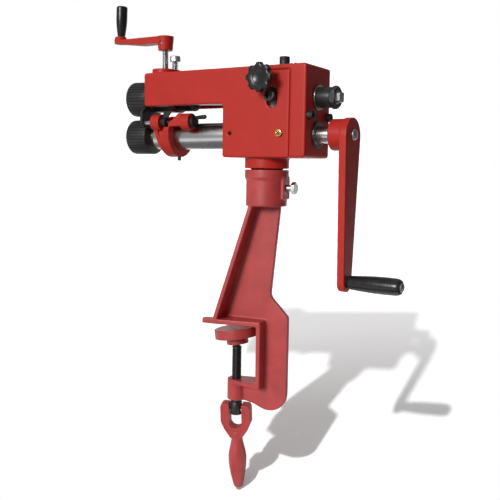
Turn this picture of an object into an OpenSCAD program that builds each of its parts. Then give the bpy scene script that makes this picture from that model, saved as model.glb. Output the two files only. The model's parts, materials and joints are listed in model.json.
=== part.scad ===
// Hand cranked bead roller with a C-clamp foot.
// Row frame: +Z up, the bench face of the clamp at z = 0, the clamp screw on the Z axis.
// +X runs along the shafts from the rollers to the main crank, +Y points away from the operator's side.

/* [Head casting] */
// Height of the head's flat top above the bench face
head_top_z = 405; // [385:1:430]
// Width of the head, arm and rear cover
head_w = 84; // [80:1:92]
// Length of the arm from its nose to the gear box
arm_len = 155.5; // [140:0.5:200]
// Height of the arm
arm_h = 54; // [52:0.5:60]
// Length of the gear box up to the cover seam
box_len = 117.5; // [112:0.5:130]
// Height of the gear box
box_h = 137.5; // [136:0.5:150]
// Wall of the casting
wall = 10; // [8:0.5:11]
// Radius of the casting's corners seen from the side
corner_r = 4; // [2:0.5:6]
// Radius in the inner corner of the throat
throat_r = 6; // [3:0.5:10]
// Distance from the throat face of the box to the swivel axis
box_to_swivel = 58; // [50:0.5:70]
// Height of the boss that carries the pressure screw
nose_boss_h = 8; // [6:0.5:14]

/* [Rear cover] */
// Depth of the cover behind the seam
cover_len = 27; // [25:0.5:34]
// Thickness of the cover's end wall
cover_wall = 8; // [6:0.5:9]
// Reach of the cover's top tongue over the box
tongue_len = 41; // [38:0.5:50]
// Thickness of the tongue
tongue_t = 8; // [6:0.5:9]

/* [Shafts and rollers] */
// Diameter of both shafts
shaft_d = 20; // [18:0.5:21]
// Drop from the head's top to the lower shaft axis
lower_drop = 102.6; // [102.6:0.1:103]
// Drop from the head's top to the upper shaft's pivot axis
pivot_drop = 45.5; // [45:0.1:45.5]
// Distance from the box's throat face to the pivot bolts
box_to_pivot = 88; // [84:0.5:92]
// Tilt of the upper shaft at rest, rollers open
open_tilt = 1.466; // [1.45:0.001:1.6]
// Outer diameter of both rollers
roller_d = 58.4; // [54:0.1:58.6]
// Length of the knurled rim of a roller
roller_len = 42; // [30:0.5:45]
// Grooves round a roller
roller_grooves = 36; // [24:1:60]
// Depth of a groove
groove_h = 1.2; // [0.6:0.1:2]
// Distance from the rollers' inner face to the arm's nose
roller_gap_x = 10; // [9.5:0.5:16]
// Outer diameter of the fixed lower tube
tube_d = 43; // [40:0.5:44]
// Wall of the fixed lower tube
tube_wall = 4.5; // [4:0.5:5]
// Outer diameter of the upper bearing sleeve
sleeve_d = 45; // [40:0.5:45]
// Length of the upper bearing sleeve
sleeve_len = 54.5; // [48:0.5:58]
// Length of the black shaft collar behind the sleeve
collar_len = 28; // [16:0.5:32]

/* [Gears] */
// Teeth on each of the two equal gears
gear_teeth = 28; // [26:1:28]
// Pitch diameter over the number of teeth
gear_module = 2; // [1.8:0.1:2]
// Face width of the gears
gear_w = 14; // [10:0.5:15]

/* [Pressure screw] */
// Diameter of the pressure screw
press_d = 10; // [9:0.5:12]
// Distance from the arm's nose to the pressure screw
press_x = 12.2; // [10:0.1:14]
// Distance from the pressure screw to the lift bolt
lift_pitch = 20.6; // [19:0.1:24]
// Reach of the small crank, screw axis to grip axis
top_crank_reach = 97; // [70:1:110]
// Length of the small grip
top_grip_len = 51; // [44:1:60]

/* [Main crank] */
// Reach of the main crank, shaft axis to grip axis
crank_reach = 219; // [180:1:240]
// Angle of the crank from straight down at rest
crank_turn = 1.5; // [0:0.5:90]
// Length of the main grip
grip_len = 83; // [70:1:110]
// Largest diameter of the main grip
grip_d = 26; // [22:0.5:30]

/* [Edge guide] */
// Distance from the arm's nose to the middle of the guide's ring
guide_x = 35.5; // [35:0.5:37]
// Width of the ring along the tube
ring_w = 22; // [19:0.5:22]
// Wall of the ring round the tube
ring_wall = 12.5; // [10:0.5:13]
// Diameter of the guide rod
rod_d = 6; // [5:0.5:7]
// Distance from the tube's side to the guide rod's axis
rod_out = 11.5; // [11:0.5:13]
// Height of the guide rod's axis over the tube's top
rod_rise = 0.6; // [0:0.1:2]

/* [Clamp foot] */
// Turn of the clamp foot under the head at rest
base_turn = 6; // [0:1:360]
// Distance from the clamp screw to the swivel axis
swivel_reach = 48.6; // [47:0.1:56]
// Opening of the clamp between bench face and lower arm
jaw_h = 95; // [90:1:120]
// Thickness of the bench plate
plate_t = 8; // [7:0.5:12]
// Thickness of the web
web_t = 8; // [6:0.5:12]
// Thickness of the flanges
flange_t = 7.5; // [6:0.5:9]
// Width of the bench plate at its free end
plate_w = 72; // [60:1:90]
// Width of the jaw's back flange
jaw_w = 52; // [44:1:60]
// Outer diameter of the swivel socket
socket_d = 65; // [62:0.5:68]
// Height of the swivel socket
socket_h = 57; // [50:0.5:60]
// Diameter of the spigot that turns in the socket
spigot_d = 50; // [44:0.5:52]
// Diameter of the clamp screw
clamp_d = 16; // [14:0.5:18]
// Diameter of the clamp pad
pad_d = 72; // [50:1:80]
// Thickness of the clamp pad
pad_t = 17; // [10:0.5:18]
// Tilt of the loose clamp pad at rest
pad_tilt = 8; // [0:0.5:9]
// Length of the handle below its pin
handle_len = 147; // [120:1:170]
// Turn of the handle's pin at rest
pin_turn = 12; // [0:1:360]

/* [Hidden] */
$fn = 48;

// Clearances and overruns
fit = 0.05;
gap = 0.3;
cut = 1;

// Colours
red = [0.72, 0.16, 0.13];
black = [0.08, 0.08, 0.085];
steel = [0.68, 0.68, 0.69];
zinc = [0.78, 0.78, 0.8];
brass = [0.78, 0.62, 0.28];

// Small shared helpers
function unit(v) = v / norm(v);

function sweep(a0, a1) = a1 - a0 > 180 ? a1 - a0 - 360 : a1 - a0 < -180 ? a1 - a0 + 360 : a1 - a0;

// Points of a round of radius r in the corner b between its neighbours a and c
function corner(a, b, c, r, n) = let (
    u = unit(a - b),
    v = unit(c - b),
    half = acos(u * v) / 2,
    m = b + unit(u + v) * r / sin(half),
    p0 = b + u * r / tan(half) - m,
    p1 = b + v * r / tan(half) - m,
    a0 = atan2(p0[1], p0[0]),
    s = sweep(a0, atan2(p1[1], p1[0]))
) [for (i = [0:n]) m + r * [cos(a0 + s * i / n), sin(a0 + s * i / n)]];

// Closed outline with each corner rounded to its own radius
function rounded(pts, rs, n = 6) = let (k = len(pts)) [
    for (i = [0:k - 1]) each rs[i] > 0
        ? corner(pts[(i + k - 1) % k], pts[i], pts[(i + 1) % k], rs[i], n) : [pts[i]]
];

module rod_x(x0, x1, r) {
    translate([x0, 0, 0]) rotate([0, 90, 0]) cylinder(h = x1 - x0, r = r);
}

module rod_y(y0, y1, r) {
    translate([0, y0, 0]) rotate([-90, 0, 0]) cylinder(h = y1 - y0, r = r);
}

module rod_z(z0, z1, r) {
    translate([0, 0, z0]) cylinder(h = z1 - z0, r = r);
}

module cone_x(x0, x1, r0, r1) {
    translate([x0, 0, 0]) rotate([0, 90, 0]) cylinder(h = x1 - x0, r1 = r0, r2 = r1);
}

module cone_z(z0, z1, r0, r1) {
    translate([0, 0, z0]) cylinder(h = z1 - z0, r1 = r0, r2 = r1);
}

module hex_z(z0, z1, flats) {
    translate([0, 0, z0]) cylinder(h = z1 - z0, r = flats / sqrt(3), $fn = 6);
}

module ring_x(x0, x1, ro, ri) {
    difference() {
        rod_x(x0, x1, ro);
        rod_x(x0 - cut, x1 + cut, ri);
    }
}

// Outlines drawn in X and Z, made w wide along Y
module side_plate(w) {
    rotate([90, 0, 0]) linear_extrude(w, center = true) children();
}

// Outlines drawn in Y and Z, made thick from x0 along X
module end_plate(x0, t) {
    translate([x0, 0, 0]) rotate([90, 0, 90]) linear_extrude(t) children();
}

module box(x0, x1, half, z0, z1) {
    translate([x0, -half, z0]) cube([x1 - x0, 2 * half, z1 - z0]);
}

module obround_z(x, z, w, h) {
    translate([x - w / 2, z - h / 2 + w / 2]) square([w, h - w]);
    for (s = [-1, 1]) translate([x, z + s * (h - w) / 2]) circle(d = w);
}

// Outline of a link between two circles, the second one d below the first
module link_outline(r0, r1, d) {
    a = asin((r0 - r1) / d);
    circle(r = r0);
    translate([0, -d]) circle(r = r1);
    polygon([
        [r0 * cos(a), -r0 * sin(a)], [r1 * cos(a), -d - r1 * sin(a)],
        [-r1 * cos(a), -d - r1 * sin(a)], [-r0 * cos(a), -r0 * sin(a)]
    ]);
}

// Frames: the head's frame has its origin on the swivel axis, the upper one on the pivot bolts
swivel_x = swivel_reach * cos(base_turn);
swivel_y = swivel_reach * sin(base_turn);

module in_base() {
    rotate([0, 0, base_turn]) children();
}

module in_head() {
    translate([swivel_x, swivel_y, 0]) children();
}

// Places along the head
box_x0 = -box_to_swivel;
nose_x = box_x0 - arm_len;
seam_x = box_x0 + box_len;
end_x = seam_x + cover_len;
pivot_x = box_x0 + box_to_pivot;
pivot_z = head_top_z - pivot_drop;
lower_z = head_top_z - lower_drop;
arm_z = head_top_z - arm_h;
box_z = head_top_z - box_h;
side_y = head_w / 2;
inner_y = side_y - wall;
shaft_r = shaft_d / 2;
roller_x1 = nose_x - roller_gap_x;
roller_x0 = roller_x1 - roller_len;

module on_upper_axis() {
    in_head() translate([pivot_x, 0, pivot_z]) rotate([0, open_tilt, 0]) children();
}

module on_lower_axis() {
    in_head() translate([0, 0, lower_z]) children();
}

// Same places measured from the pivot, along the upper shaft
up_roller_x1 = roller_x1 - pivot_x;
up_roller_x0 = roller_x0 - pivot_x;
up_end_x = end_x - pivot_x;

// Swivel joint between head and foot
collar_d = 70;
collar_h = 16.5;
collar_z = box_z - collar_h;
swivel_gap = 2;
socket_top_z = collar_z - swivel_gap;
socket_z = socket_top_z - socket_h;
spigot_len = 44;
lip_h = 12.3;
lip_d = 69.6;
lip_slope = 4;
socket_floor = 8;

// Lock screw in the socket
lock_d = 10;
lock_drop = 28;
lock_z = socket_top_z - lock_drop;
lock_flats = 17;
lock_head_h = 6.4;
lock_stand = 9;
pad_wrap_t = 2;
pad_wrap_w = 26;
pad_wrap_h = 35;

// Head cavities
roof_t = 11;
box_roof_t = 14;
nose_guide_len = 50;
guide_slack = 0.7;
seat_len = 22;
tube_inset = 1.5;
tube_x0 = nose_x + tube_inset;
tube_x1 = box_x0 + seat_len;
box_floor_t = 9;
slot_w = 17.8;
slot_h = 30.6;

// Nose boss, obround across the arm
boss_w = 40;
boss_l = 68;
boss_inset = 0.6;
boss_x = nose_x + boss_w / 2 + boss_inset;

// Cover bolts
cover_bolt_y = 31.5;
cover_bolt_drop = 75;
cover_bolt_d = 8;
bolt_head_d = 13;
bolt_head_h = 8;
bolt_boss_d = 19;
bolt_deep = 22;

// Foot casting, drawn in the foot's own frame
jaw_x = 45;
back_x = 90.7;
waist_x = 59.4;
waist_z = 48;
elbow_z = 16;
shoulder_x = 25.5;
arm_end_z = -jaw_h;
heel_drop = 46;
toe_drop = 46;
toe_x = 52;
instep_x = 32.6;
instep_drop = 38;
boss_r = 15;
boss_drop = 35;
flange_top_x = 30.5;
flange_foot_x = -28.5;
flange_top_half = 28;
jaw_half = jaw_w / 2;
plate_half = plate_w / 2;
plate_x0 = -26.5;
jaw_in_x = jaw_x + flange_t;
lip_reach = 21;
lip_depth = 14;
lip_round = 4;
waist_round = 14;
elbow_round = 8;
inner_round = 3;
edge_round = 2;
plate_round = 5;
lip_in_round = 3;
heel_round = 31;
toe_round = 30;
socket_bore_r = spigot_d / 2 + fit;

web_pts = [
    [swivel_reach + shoulder_x, socket_z + lip_slope], [waist_x, waist_z], [back_x, elbow_z],
    [back_x, arm_end_z - heel_drop], [toe_x, arm_end_z - toe_drop],
    [instep_x, arm_end_z - instep_drop], [boss_r - cut, arm_end_z - boss_drop],
    [0, arm_end_z - boss_drop], [0, arm_end_z], [jaw_x, arm_end_z], [jaw_x, 0], [plate_x0, 0],
    [flange_foot_x + lip_slope, plate_t], [flange_top_x + lip_slope, socket_z + lip_slope]
];
web_radii = [
    0, waist_round, elbow_round, heel_round, toe_round, toe_round, 0, 0, 0, inner_round, 0, 0, 0, 0
];

slant_pts = [
    [flange_foot_x, plate_t - cut], [flange_foot_x + flange_t, plate_t - cut],
    [flange_top_x + flange_t, socket_z + lip_slope], [flange_top_x, socket_z + lip_slope]
];

plate_pts = [
    [jaw_in_x, -jaw_half], [jaw_in_x, jaw_half], [plate_x0, plate_half],
    [plate_x0, lip_depth - plate_half], [plate_x0 - lip_reach, lip_depth - plate_half],
    [plate_x0 - lip_reach, -plate_half], [plate_x0, -plate_half]
];
plate_radii = [edge_round, edge_round, plate_round, lip_in_round, lip_round, lip_round, 0];

module socket_solid() {
    rotate_extrude() polygon([
        [0, socket_z], [socket_d / 2, socket_z], [socket_d / 2, socket_top_z - lip_h - lip_slope],
        [lip_d / 2, socket_top_z - lip_h], [lip_d / 2, socket_top_z], [0, socket_top_z]
    ]);
}

module clamp_frame() {
    color(red) in_base() difference() {
        union() {
            side_plate(web_t) polygon(rounded(web_pts, web_radii));
            intersection() {
                side_plate(2 * plate_half) polygon(slant_pts);
                end_plate(plate_x0 - lip_reach, jaw_x - plate_x0 + lip_reach) polygon([
                    [-plate_half, 0], [plate_half, 0],
                    [flange_top_half, socket_z + lip_slope], [-flange_top_half, socket_z + lip_slope]
                ]);
            }
            linear_extrude(plate_t) polygon(rounded(plate_pts, plate_radii));
            box(jaw_x, jaw_in_x, jaw_half, arm_end_z - flange_t, cut);
            translate([0, 0, arm_end_z - flange_t]) linear_extrude(flange_t) polygon([
                [0, -boss_r], [jaw_in_x, -jaw_half], [jaw_in_x, jaw_half], [0, boss_r]
            ]);
            rod_z(arm_end_z - boss_drop, arm_end_z, boss_r);
            translate([swivel_reach, 0, 0]) {
                socket_solid();
                box(spigot_d / 2 + cut, socket_d / 2 + pad_wrap_t, pad_wrap_w / 2,
                    lock_z - pad_wrap_h / 2, lock_z + pad_wrap_h / 2);
            }
        }
        rod_z(arm_end_z - boss_drop - cut, arm_end_z + cut, clamp_d / 2 + fit);
        translate([swivel_reach, 0, 0]) {
            rod_z(socket_z + socket_floor, socket_top_z + cut, socket_bore_r);
            translate([0, 0, lock_z]) rod_x(0, socket_d, lock_d / 2 + fit);
        }
    }
}

module swivel_lock_screw() {
    x1 = socket_d / 2 + pad_wrap_t + lock_stand;
    color(zinc) in_base() translate([swivel_reach, 0, lock_z]) {
        rod_x(spigot_d / 2 + gap, x1 + cut, lock_d / 2);
        rotate([0, 90, 0]) hex_z(x1, x1 + lock_head_h, lock_flats);
    }
}

// Clamp screw and its swivelling pad
pad_top_z = -9.5;
pad_edge = 15.5;
hub_d = 36;
hub_len = 27;
ball_r = 11;
ball_drop = 16;
ball_cut = 8;
tip_d = 10;
tip_top = 2;
tilt_z = pad_top_z - ball_drop;
ring_groove = 1.4;
ring_bore_r = 7.6;
screw_shoulder_z = -41;
head_z = -134.5;
head_len = 22;
head_d = 19.5;
pin_d = 8;
pin_z = -149.5;
pocket_r = ball_r + gap;

module ball_outline(r, z0, z1) {
    polygon(concat(
        [[0, z0]],
        [for (i = [0:16]) let (z = z0 + (z1 - z0) * i / 16) [sqrt(max(r * r - z * z, 0)), z]],
        [[0, z1]]
    ));
}

module swivel_ball() {
    color(steel) translate([0, 0, tilt_z]) difference() {
        rotate_extrude() ball_outline(ball_r, -ball_cut, ball_r - cut);
        rod_z(-ball_cut - cut, tip_top + gap, tip_d / 2 + fit);
    }
}

module clamp_screw() {
    color(black) {
        rod_z(tilt_z - ball_cut - gap, tilt_z + tip_top, tip_d / 2);
        rod_z(screw_shoulder_z - cut, tilt_z - ball_cut, tip_d / 2);
        rod_z(head_z - cut, screw_shoulder_z, clamp_d / 2);
        difference() {
            rod_z(head_z - head_len, head_z, head_d / 2);
            rotate([0, 0, base_turn + pin_turn]) translate([0, 0, pin_z])
                rod_x(-head_d, head_d, pin_d / 2 + fit);
        }
    }
}

module on_pad() {
    in_base() translate([0, 0, tilt_z]) rotate([0, -pad_tilt, 0]) children();
}

module clamp_pad() {
    color(red) on_pad() difference() {
        rotate_extrude() polygon([
            [0, ball_drop], [pad_d / 2, ball_drop], [pad_d / 2, ball_drop - pad_edge],
            [hub_d / 2 + cut, ball_drop - pad_t], [hub_d / 2, ball_drop - pad_t - cut],
            [hub_d / 2, ball_drop - hub_len], [0, ball_drop - hub_len]
        ]);
        rotate_extrude() ball_outline(pocket_r, 0, pocket_r - fit);
        rod_z(ball_drop - hub_len - cut, fit, pocket_r);
        rod_z(-ball_cut - ring_groove - gap, -ball_cut - gap, pocket_r + ring_groove);
    }
}

module pad_snap_ring() {
    color(steel) on_pad() difference() {
        rod_z(-ball_cut - ring_groove - gap + fit, -ball_cut - gap - fit, pocket_r + ring_groove - fit);
        rod_z(-hub_len, 0, ring_bore_r);
    }
}

// Handle that hangs from the screw's head
fork_w = 51;
fork_t = 17;
fork_slot = 20.6;
fork_top_r = 12;
slot_end = 21;
neck_w = 19;
neck_drop = 50;
belly_d = 30.6;
belly_drop = 89;
belly_r = 62;
tail_r = 9;
swing = 9;
shoulder_w = 40;
shoulder_drop = 34;
fork_round = 6;
slot_round = 12;
shoulder_round = 8;
neck_round = 2;
pin_sink = 1;

module on_pin() {
    in_base() translate([0, 0, pin_z]) rotate([0, 0, pin_turn]) rotate([swing, 0, 0]) children();
}

fork_pts = [
    [-fork_w / 2, fork_top_r], [fork_w / 2, fork_top_r], [fork_w / 2, -slot_end],
    [shoulder_w / 2, -shoulder_drop], [neck_w / 2, -neck_drop], [-neck_w / 2, -neck_drop],
    [-shoulder_w / 2, -shoulder_drop], [-fork_w / 2, -slot_end]
];
fork_radii = [
    fork_round, fork_round, slot_round, shoulder_round, neck_round, neck_round, shoulder_round, slot_round
];

handle_pts = concat(
    [[0, -neck_drop + fork_slot / 2], [neck_w / 2, -neck_drop + fork_slot / 2]],
    [for (i = [0:10]) let (k = i / 10)
        [neck_w / 2 + (belly_d - neck_w) / 2 * (1 - cos(180 * k)) / 2,
        -neck_drop - (belly_drop - neck_drop) * k]],
    [for (i = [1:12]) let (k = i / 12)
        [tail_r + (belly_d / 2 - tail_r) * cos(90 * k),
        -belly_drop - (handle_len - belly_drop - tail_r) * k]],
    [for (i = [1:8]) let (a = 90 * i / 8) [tail_r * cos(a), -handle_len + tail_r - tail_r * sin(a)]]
);

module clamp_handle() {
    color(red) on_pin() {
        difference() {
            side_plate(fork_t) polygon(rounded(fork_pts, fork_radii));
            side_plate(fork_t + cut) {
                translate([-fork_slot / 2, -slot_end]) square([fork_slot, slot_end + fork_top_r + cut]);
                translate([0, -slot_end]) circle(d = fork_slot);
            }
            rod_x(-fork_w, fork_w, pin_d / 2 + fit);
        }
        rotate_extrude() polygon(handle_pts);
    }
}

module handle_pin() {
    color(steel) in_base() translate([0, 0, pin_z]) rotate([0, 0, pin_turn])
        rod_x(-fork_w / 2 + pin_sink, fork_w / 2 - pin_sink, pin_d / 2);
}

// Head casting
head_pts = [
    [nose_x, head_top_z], [seam_x, head_top_z], [seam_x, box_z], [box_x0, box_z],
    [box_x0, arm_z], [nose_x, arm_z]
];
head_radii = [corner_r, 0, 0, corner_r, throat_r, corner_r];
seat_wall = 7;
lift_d = 6;
grub_d = 6;
grub_in = 13.5;
grub_x = box_x0 + grub_in;
grub_up = 2;
nipple_d = 6;
nipple_in = 16;
nipple_shank = 7;
nipple_x = seam_x - nipple_in;
nipple_up = 1.6;
knob_in = 37;
knob_x = seam_x - knob_in;
knob_drop = 21;
knob_d = 8;
plug_d = 10;
plug_in = 2;
plug_x = pivot_x - plug_in;
tongue_bolt_d = 6;
tongue_bolt_in = 15;
tongue_bolt_x = seam_x - tongue_bolt_in;
press_axis_x = nose_x + press_x;
lift_x = press_axis_x + lift_pitch;
cover_hole_d = 34;
cover_hole_drop = 46.5;
slot_drop = 47.7;
lift_hole = 1.6;
slot_shift = 0.4;
upper_bolt_slot_x = pivot_x - slot_shift;

module nose_boss() {
    translate([boss_x, 0, head_top_z - cut]) linear_extrude(nose_boss_h + cut) union() {
        square([boss_w, boss_l - boss_w], center = true);
        for (s = [-1, 1]) translate([0, s * (boss_l - boss_w) / 2]) circle(d = boss_w);
    }
}

// The slot in the box's front wall reaches lower than the nose's floor, for the tilting shaft
wall_sink = 1.6;

module head_housing() {
    roof_z = head_top_z - roof_t;
    color(red) in_head() difference() {
        union() {
            difference() {
                union() {
                    side_plate(head_w) polygon(rounded(head_pts, head_radii));
                    nose_boss();
                    rod_z(collar_z, box_z + cut, collar_d / 2);
                    rod_z(collar_z - spigot_len, collar_z + cut, spigot_d / 2);
                }
                box(nose_x + nose_guide_len, box_x0, inner_y, arm_z - throat_r - cut, roof_z);
                box(nose_x - cut, nose_x + nose_guide_len + cut, sleeve_d / 2 + guide_slack,
                    arm_z - throat_r, roof_z);
                box(box_x0 - cut, box_x0 + wall + cut, inner_y, arm_z - wall_sink, roof_z);
                box(box_x0 + wall, seam_x + cut, inner_y, box_z + box_floor_t, head_top_z - box_roof_t);
                box(seam_x - tongue_len, seam_x + cut, side_y + cut, head_top_z - tongue_t, head_top_z + cut);
            }
            translate([0, 0, lower_z]) {
                rod_x(box_x0 + cut, tube_x1, tube_d / 2 + seat_wall);
                translate([grub_x, 0, grub_up]) rod_y(-inner_y - cut, -tube_d / 2, grub_d);
            }
            for (s = [-1, 1]) intersection() {
                translate([0, s * cover_bolt_y, head_top_z - cover_bolt_drop])
                    rod_x(seam_x - bolt_deep, seam_x, bolt_boss_d / 2);
                box(box_x0, seam_x, side_y - cut, box_z, head_top_z);
            }
        }
        translate([0, 0, lower_z]) {
            rod_x(box_x0 - cut, tube_x1 + cut, tube_d / 2 + fit);
            translate([grub_x, 0, grub_up]) rod_y(-side_y - cut, -tube_d / 2 + cut, grub_d / 2 + fit);
            translate([nipple_x, 0, nipple_up]) rod_y(-side_y - cut, -side_y + nipple_shank + cut, nipple_d / 2 + fit);
        }
        for (s = [-1, 1]) {
            translate([0, s * cover_bolt_y, head_top_z - cover_bolt_drop])
                rod_x(seam_x - bolt_deep - cut, seam_x + cut, cover_bolt_d / 2 + fit);
            translate([0, s * (side_y - wall / 2), 0]) side_plate(wall + cut)
                obround_z(upper_bolt_slot_x, head_top_z - slot_drop, slot_w, slot_h);
        }
        translate([knob_x, 0, head_top_z - knob_drop]) rod_y(-side_y - cut, -inner_y + cut, knob_d / 2 + fit);
        translate([plug_x, 0, 0]) rod_z(head_top_z - box_roof_t - cut, head_top_z, plug_d / 2 + fit);
        translate([tongue_bolt_x, 0, 0])
            rod_z(head_top_z - box_roof_t - cut, head_top_z, tongue_bolt_d / 2 + fit);
        translate([press_axis_x, 0, 0])
            rod_z(roof_z - cut, head_top_z + nose_boss_h + cut, press_d / 2 + fit);
        translate([lift_x, 0, 0])
            rod_z(roof_z - cut, head_top_z + nose_boss_h + cut, lift_d / 2 + lift_hole);
    }
}

cover_pts = [
    [seam_x, head_top_z], [end_x, head_top_z], [end_x, box_z], [seam_x, box_z]
];
cover_radii = [0, corner_r, corner_r, 0];
bush_wall = 3;
journal_d = 26;
cover_floor_t = 4.4;

module rear_cover() {
    color(red) in_head() difference() {
        union() {
            difference() {
                side_plate(head_w) polygon(rounded(cover_pts, cover_radii));
                box(seam_x - cut, end_x - cover_wall, inner_y, box_z + cover_floor_t,
                    head_top_z - box_roof_t);
            }
            box(seam_x - tongue_len, seam_x + cut, side_y, head_top_z - tongue_t, head_top_z);
            for (s = [-1, 1]) intersection() {
                translate([0, s * cover_bolt_y, head_top_z - cover_bolt_drop])
                    rod_x(seam_x, end_x - cut, bolt_boss_d / 2);
                box(seam_x, end_x, side_y - cut, box_z, head_top_z);
            }
        }
        translate([0, 0, lower_z]) rod_x(seam_x, end_x + cut, journal_d / 2 + bush_wall + fit);
        translate([0, 0, head_top_z - cover_hole_drop])
            rod_x(end_x - cover_wall - cut, end_x + cut, cover_hole_d / 2);
        for (s = [-1, 1]) translate([0, s * cover_bolt_y, head_top_z - cover_bolt_drop])
            rod_x(seam_x - cut, end_x + cut, cover_bolt_d / 2 + fit);
        translate([plug_x, 0, 0]) rod_z(head_top_z - tongue_t - cut, head_top_z + cut, plug_d / 2 + fit);
        translate([tongue_bolt_x, 0, 0])
            rod_z(head_top_z - tongue_t - cut, head_top_z + cut, tongue_bolt_d / 2 + fit);
    }
}

socket_flats = 6;
socket_deep = 5;

module cap_screw_x(x0, x1, d, head_r, head_h, flats) {
    rod_x(x0, x1 + cut, d / 2);
    difference() {
        rod_x(x1, x1 + head_h, head_r);
        rotate([0, 90, 0]) hex_z(x1 + head_h - socket_deep, x1 + head_h + cut, flats);
    }
}

module cover_bolts() {
    color(black) in_head() for (s = [-1, 1])
        translate([0, s * cover_bolt_y, head_top_z - cover_bolt_drop])
            cap_screw_x(seam_x - bolt_deep + gap, end_x, cover_bolt_d, bolt_head_d / 2, bolt_head_h,
                socket_flats);
}

plug_head_d = 16;
plug_head_h = 17;
plug_flats = 8;

module oil_plug() {
    color(black) in_head() translate([plug_x, 0, head_top_z]) {
        rod_z(-box_roof_t, cut, plug_d / 2);
        difference() {
            rod_z(0, plug_head_h, plug_head_d / 2);
            hex_z(plug_head_h - socket_deep, plug_head_h + cut, plug_flats);
        }
    }
}

tongue_head_d = 11;
tongue_head_h = 6.5;

module tongue_bolt() {
    color(zinc) in_head() translate([tongue_bolt_x, 0, head_top_z]) {
        rod_z(-box_roof_t + cut, cut, tongue_bolt_d / 2);
        difference() {
            rod_z(0, tongue_head_h, tongue_head_d / 2);
            hex_z(tongue_head_h - socket_deep, tongue_head_h + cut, socket_flats - cut);
        }
    }
}

// Lower line, fixed parts
tube_bore = tube_d - 2 * tube_wall;
bush_flange_t = 3;
cover_bush_d = 40;
cover_bush_t = 3;
front_bush_len = 30;

module lower_tube() {
    color(steel) on_lower_axis() ring_x(tube_x0, tube_x1, tube_d / 2, tube_bore / 2);
}

module lower_front_bush() {
    color(brass) on_lower_axis() {
        ring_x(tube_x0 + fit, tube_x0 + front_bush_len, tube_bore / 2 - fit, shaft_r + fit);
        ring_x(roller_x1 + gap, tube_x0 + cut, hub_r, shaft_r + fit);
    }
}

module lower_cover_bush() {
    color(steel) on_lower_axis() difference() {
        union() {
            rod_x(end_x - cover_wall, end_x + cut, journal_d / 2 + bush_wall);
            rod_x(end_x, end_x + cover_bush_t, cover_bush_d / 2);
        }
        rod_x(seam_x, end_x + cover_bush_t + cut, journal_d / 2 + fit);
    }
}

grub_flats = 3;
grub_len = 16;

module tube_lock_screw() {
    color(black) on_lower_axis() translate([grub_x, -tube_d / 2 - gap, grub_up]) difference() {
        rod_y(-grub_len, 0, grub_d / 2);
        rotate([90, 0, 0]) hex_z(grub_len - socket_deep, grub_len + cut, grub_flats);
    }
}

nipple_flats = 10;
nipple_hex_h = 4;
nipple_neck = 4;
nipple_len = 11;
nipple_ball = 5.8;

module grease_nipple() {
    color(brass) on_lower_axis() translate([nipple_x, -side_y, nipple_up]) rotate([90, 0, 0]) {
        rod_z(-nipple_shank, cut, nipple_d / 2);
        hex_z(0, nipple_hex_h, nipple_flats);
        cone_z(nipple_hex_h - cut, nipple_len - nipple_ball / 2, nipple_neck / 2 + cut, nipple_neck / 2);
        translate([0, 0, nipple_len - nipple_ball / 2])
            rotate_extrude() ball_outline(nipple_ball / 2, -nipple_ball / 2, nipple_ball / 2);
    }
}

// Star knob
lobe_count = 8;
star_r = 22;
star_t = 10;
star_out = 20;
star_hub_d = 16;
star_hub_out = 6;
notch_r = 6.2;

module on_knob() {
    in_head() translate([knob_x, -side_y, head_top_z - knob_drop]) rotate([90, 0, 0]) children();
}

module star_knob() {
    color(black) on_knob() difference() {
        union() {
            translate([0, 0, star_out]) linear_extrude(star_t) difference() {
                circle(r = star_r);
                for (i = [0:lobe_count - 1]) rotate([0, 0, (i + 0.5) * 360 / lobe_count])
                    translate([star_r + notch_r / 2, 0]) circle(r = notch_r);
            }
            rod_z(star_hub_out, star_out + cut, star_hub_d / 2);
        }
        rod_z(star_hub_out - cut, star_out + star_t / 2, knob_d / 2 + fit);
    }
}

module knob_stud() {
    color(zinc) on_knob() rod_z(-wall, star_out + star_t / 2 - gap, knob_d / 2);
}

// Gears
press_angle = 20;
pitch_r = gear_teeth * gear_module / 2;
base_r = pitch_r * cos(press_angle);
tip_r = pitch_r + gear_module;
root_share = 1.25;
flank_share = 0.25;
root_r = pitch_r - root_share * gear_module;
slack_turn = 0.55;
gear_clear = 4;
gear_x0 = seam_x + gear_clear;
gear_x1 = gear_x0 + gear_w;
key_w = 6;
key_deep = 3.5;
key_high = 2.8;

function inv(r) = let (a = acos(min(1, base_r / r))) tan(a) * 180 / PI - a;
function tooth_half(r) = 90 / gear_teeth + inv(pitch_r) - inv(r) - slack_turn;

tooth_radii = [root_r, base_r + flank_share * gear_module, pitch_r, tip_r];
gear_pts = [for (k = [0:gear_teeth - 1]) let (c = k * 360 / gear_teeth) each concat(
    [for (r = tooth_radii) let (a = c - tooth_half(r)) [r * cos(a), r * sin(a)]],
    [for (i = [3:-1:0]) let (r = tooth_radii[i], a = c + tooth_half(r)) [r * cos(a), r * sin(a)]]
)];

module gear_body(x0, x1) {
    difference() {
        end_plate(x0, x1 - x0) polygon(gear_pts);
        rod_x(x0 - cut, x1 + cut, shaft_r + fit);
        box(x0 - cut, x1 + cut, key_w / 2 + fit, 0, shaft_r + key_high + fit);
    }
}

module key_bar(x0, x1) {
    box(x0, x1, key_w / 2, shaft_r - key_deep, shaft_r + key_high);
}

module key_seat(x0, x1) {
    box(x0 - gap, x1 + gap, key_w / 2 + fit, shaft_r - key_deep - fit, shaft_r + cut);
}

// Roller with a knurled rim, drawn from x0 to x1
roller_edge = 2;
groove_w = 2;
hub_r = 14;
screw_d = 10;
screw_head_r = 12;
screw_socket_deep = 4;
screw_head_h = 5;
screw_in = 22;

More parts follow.
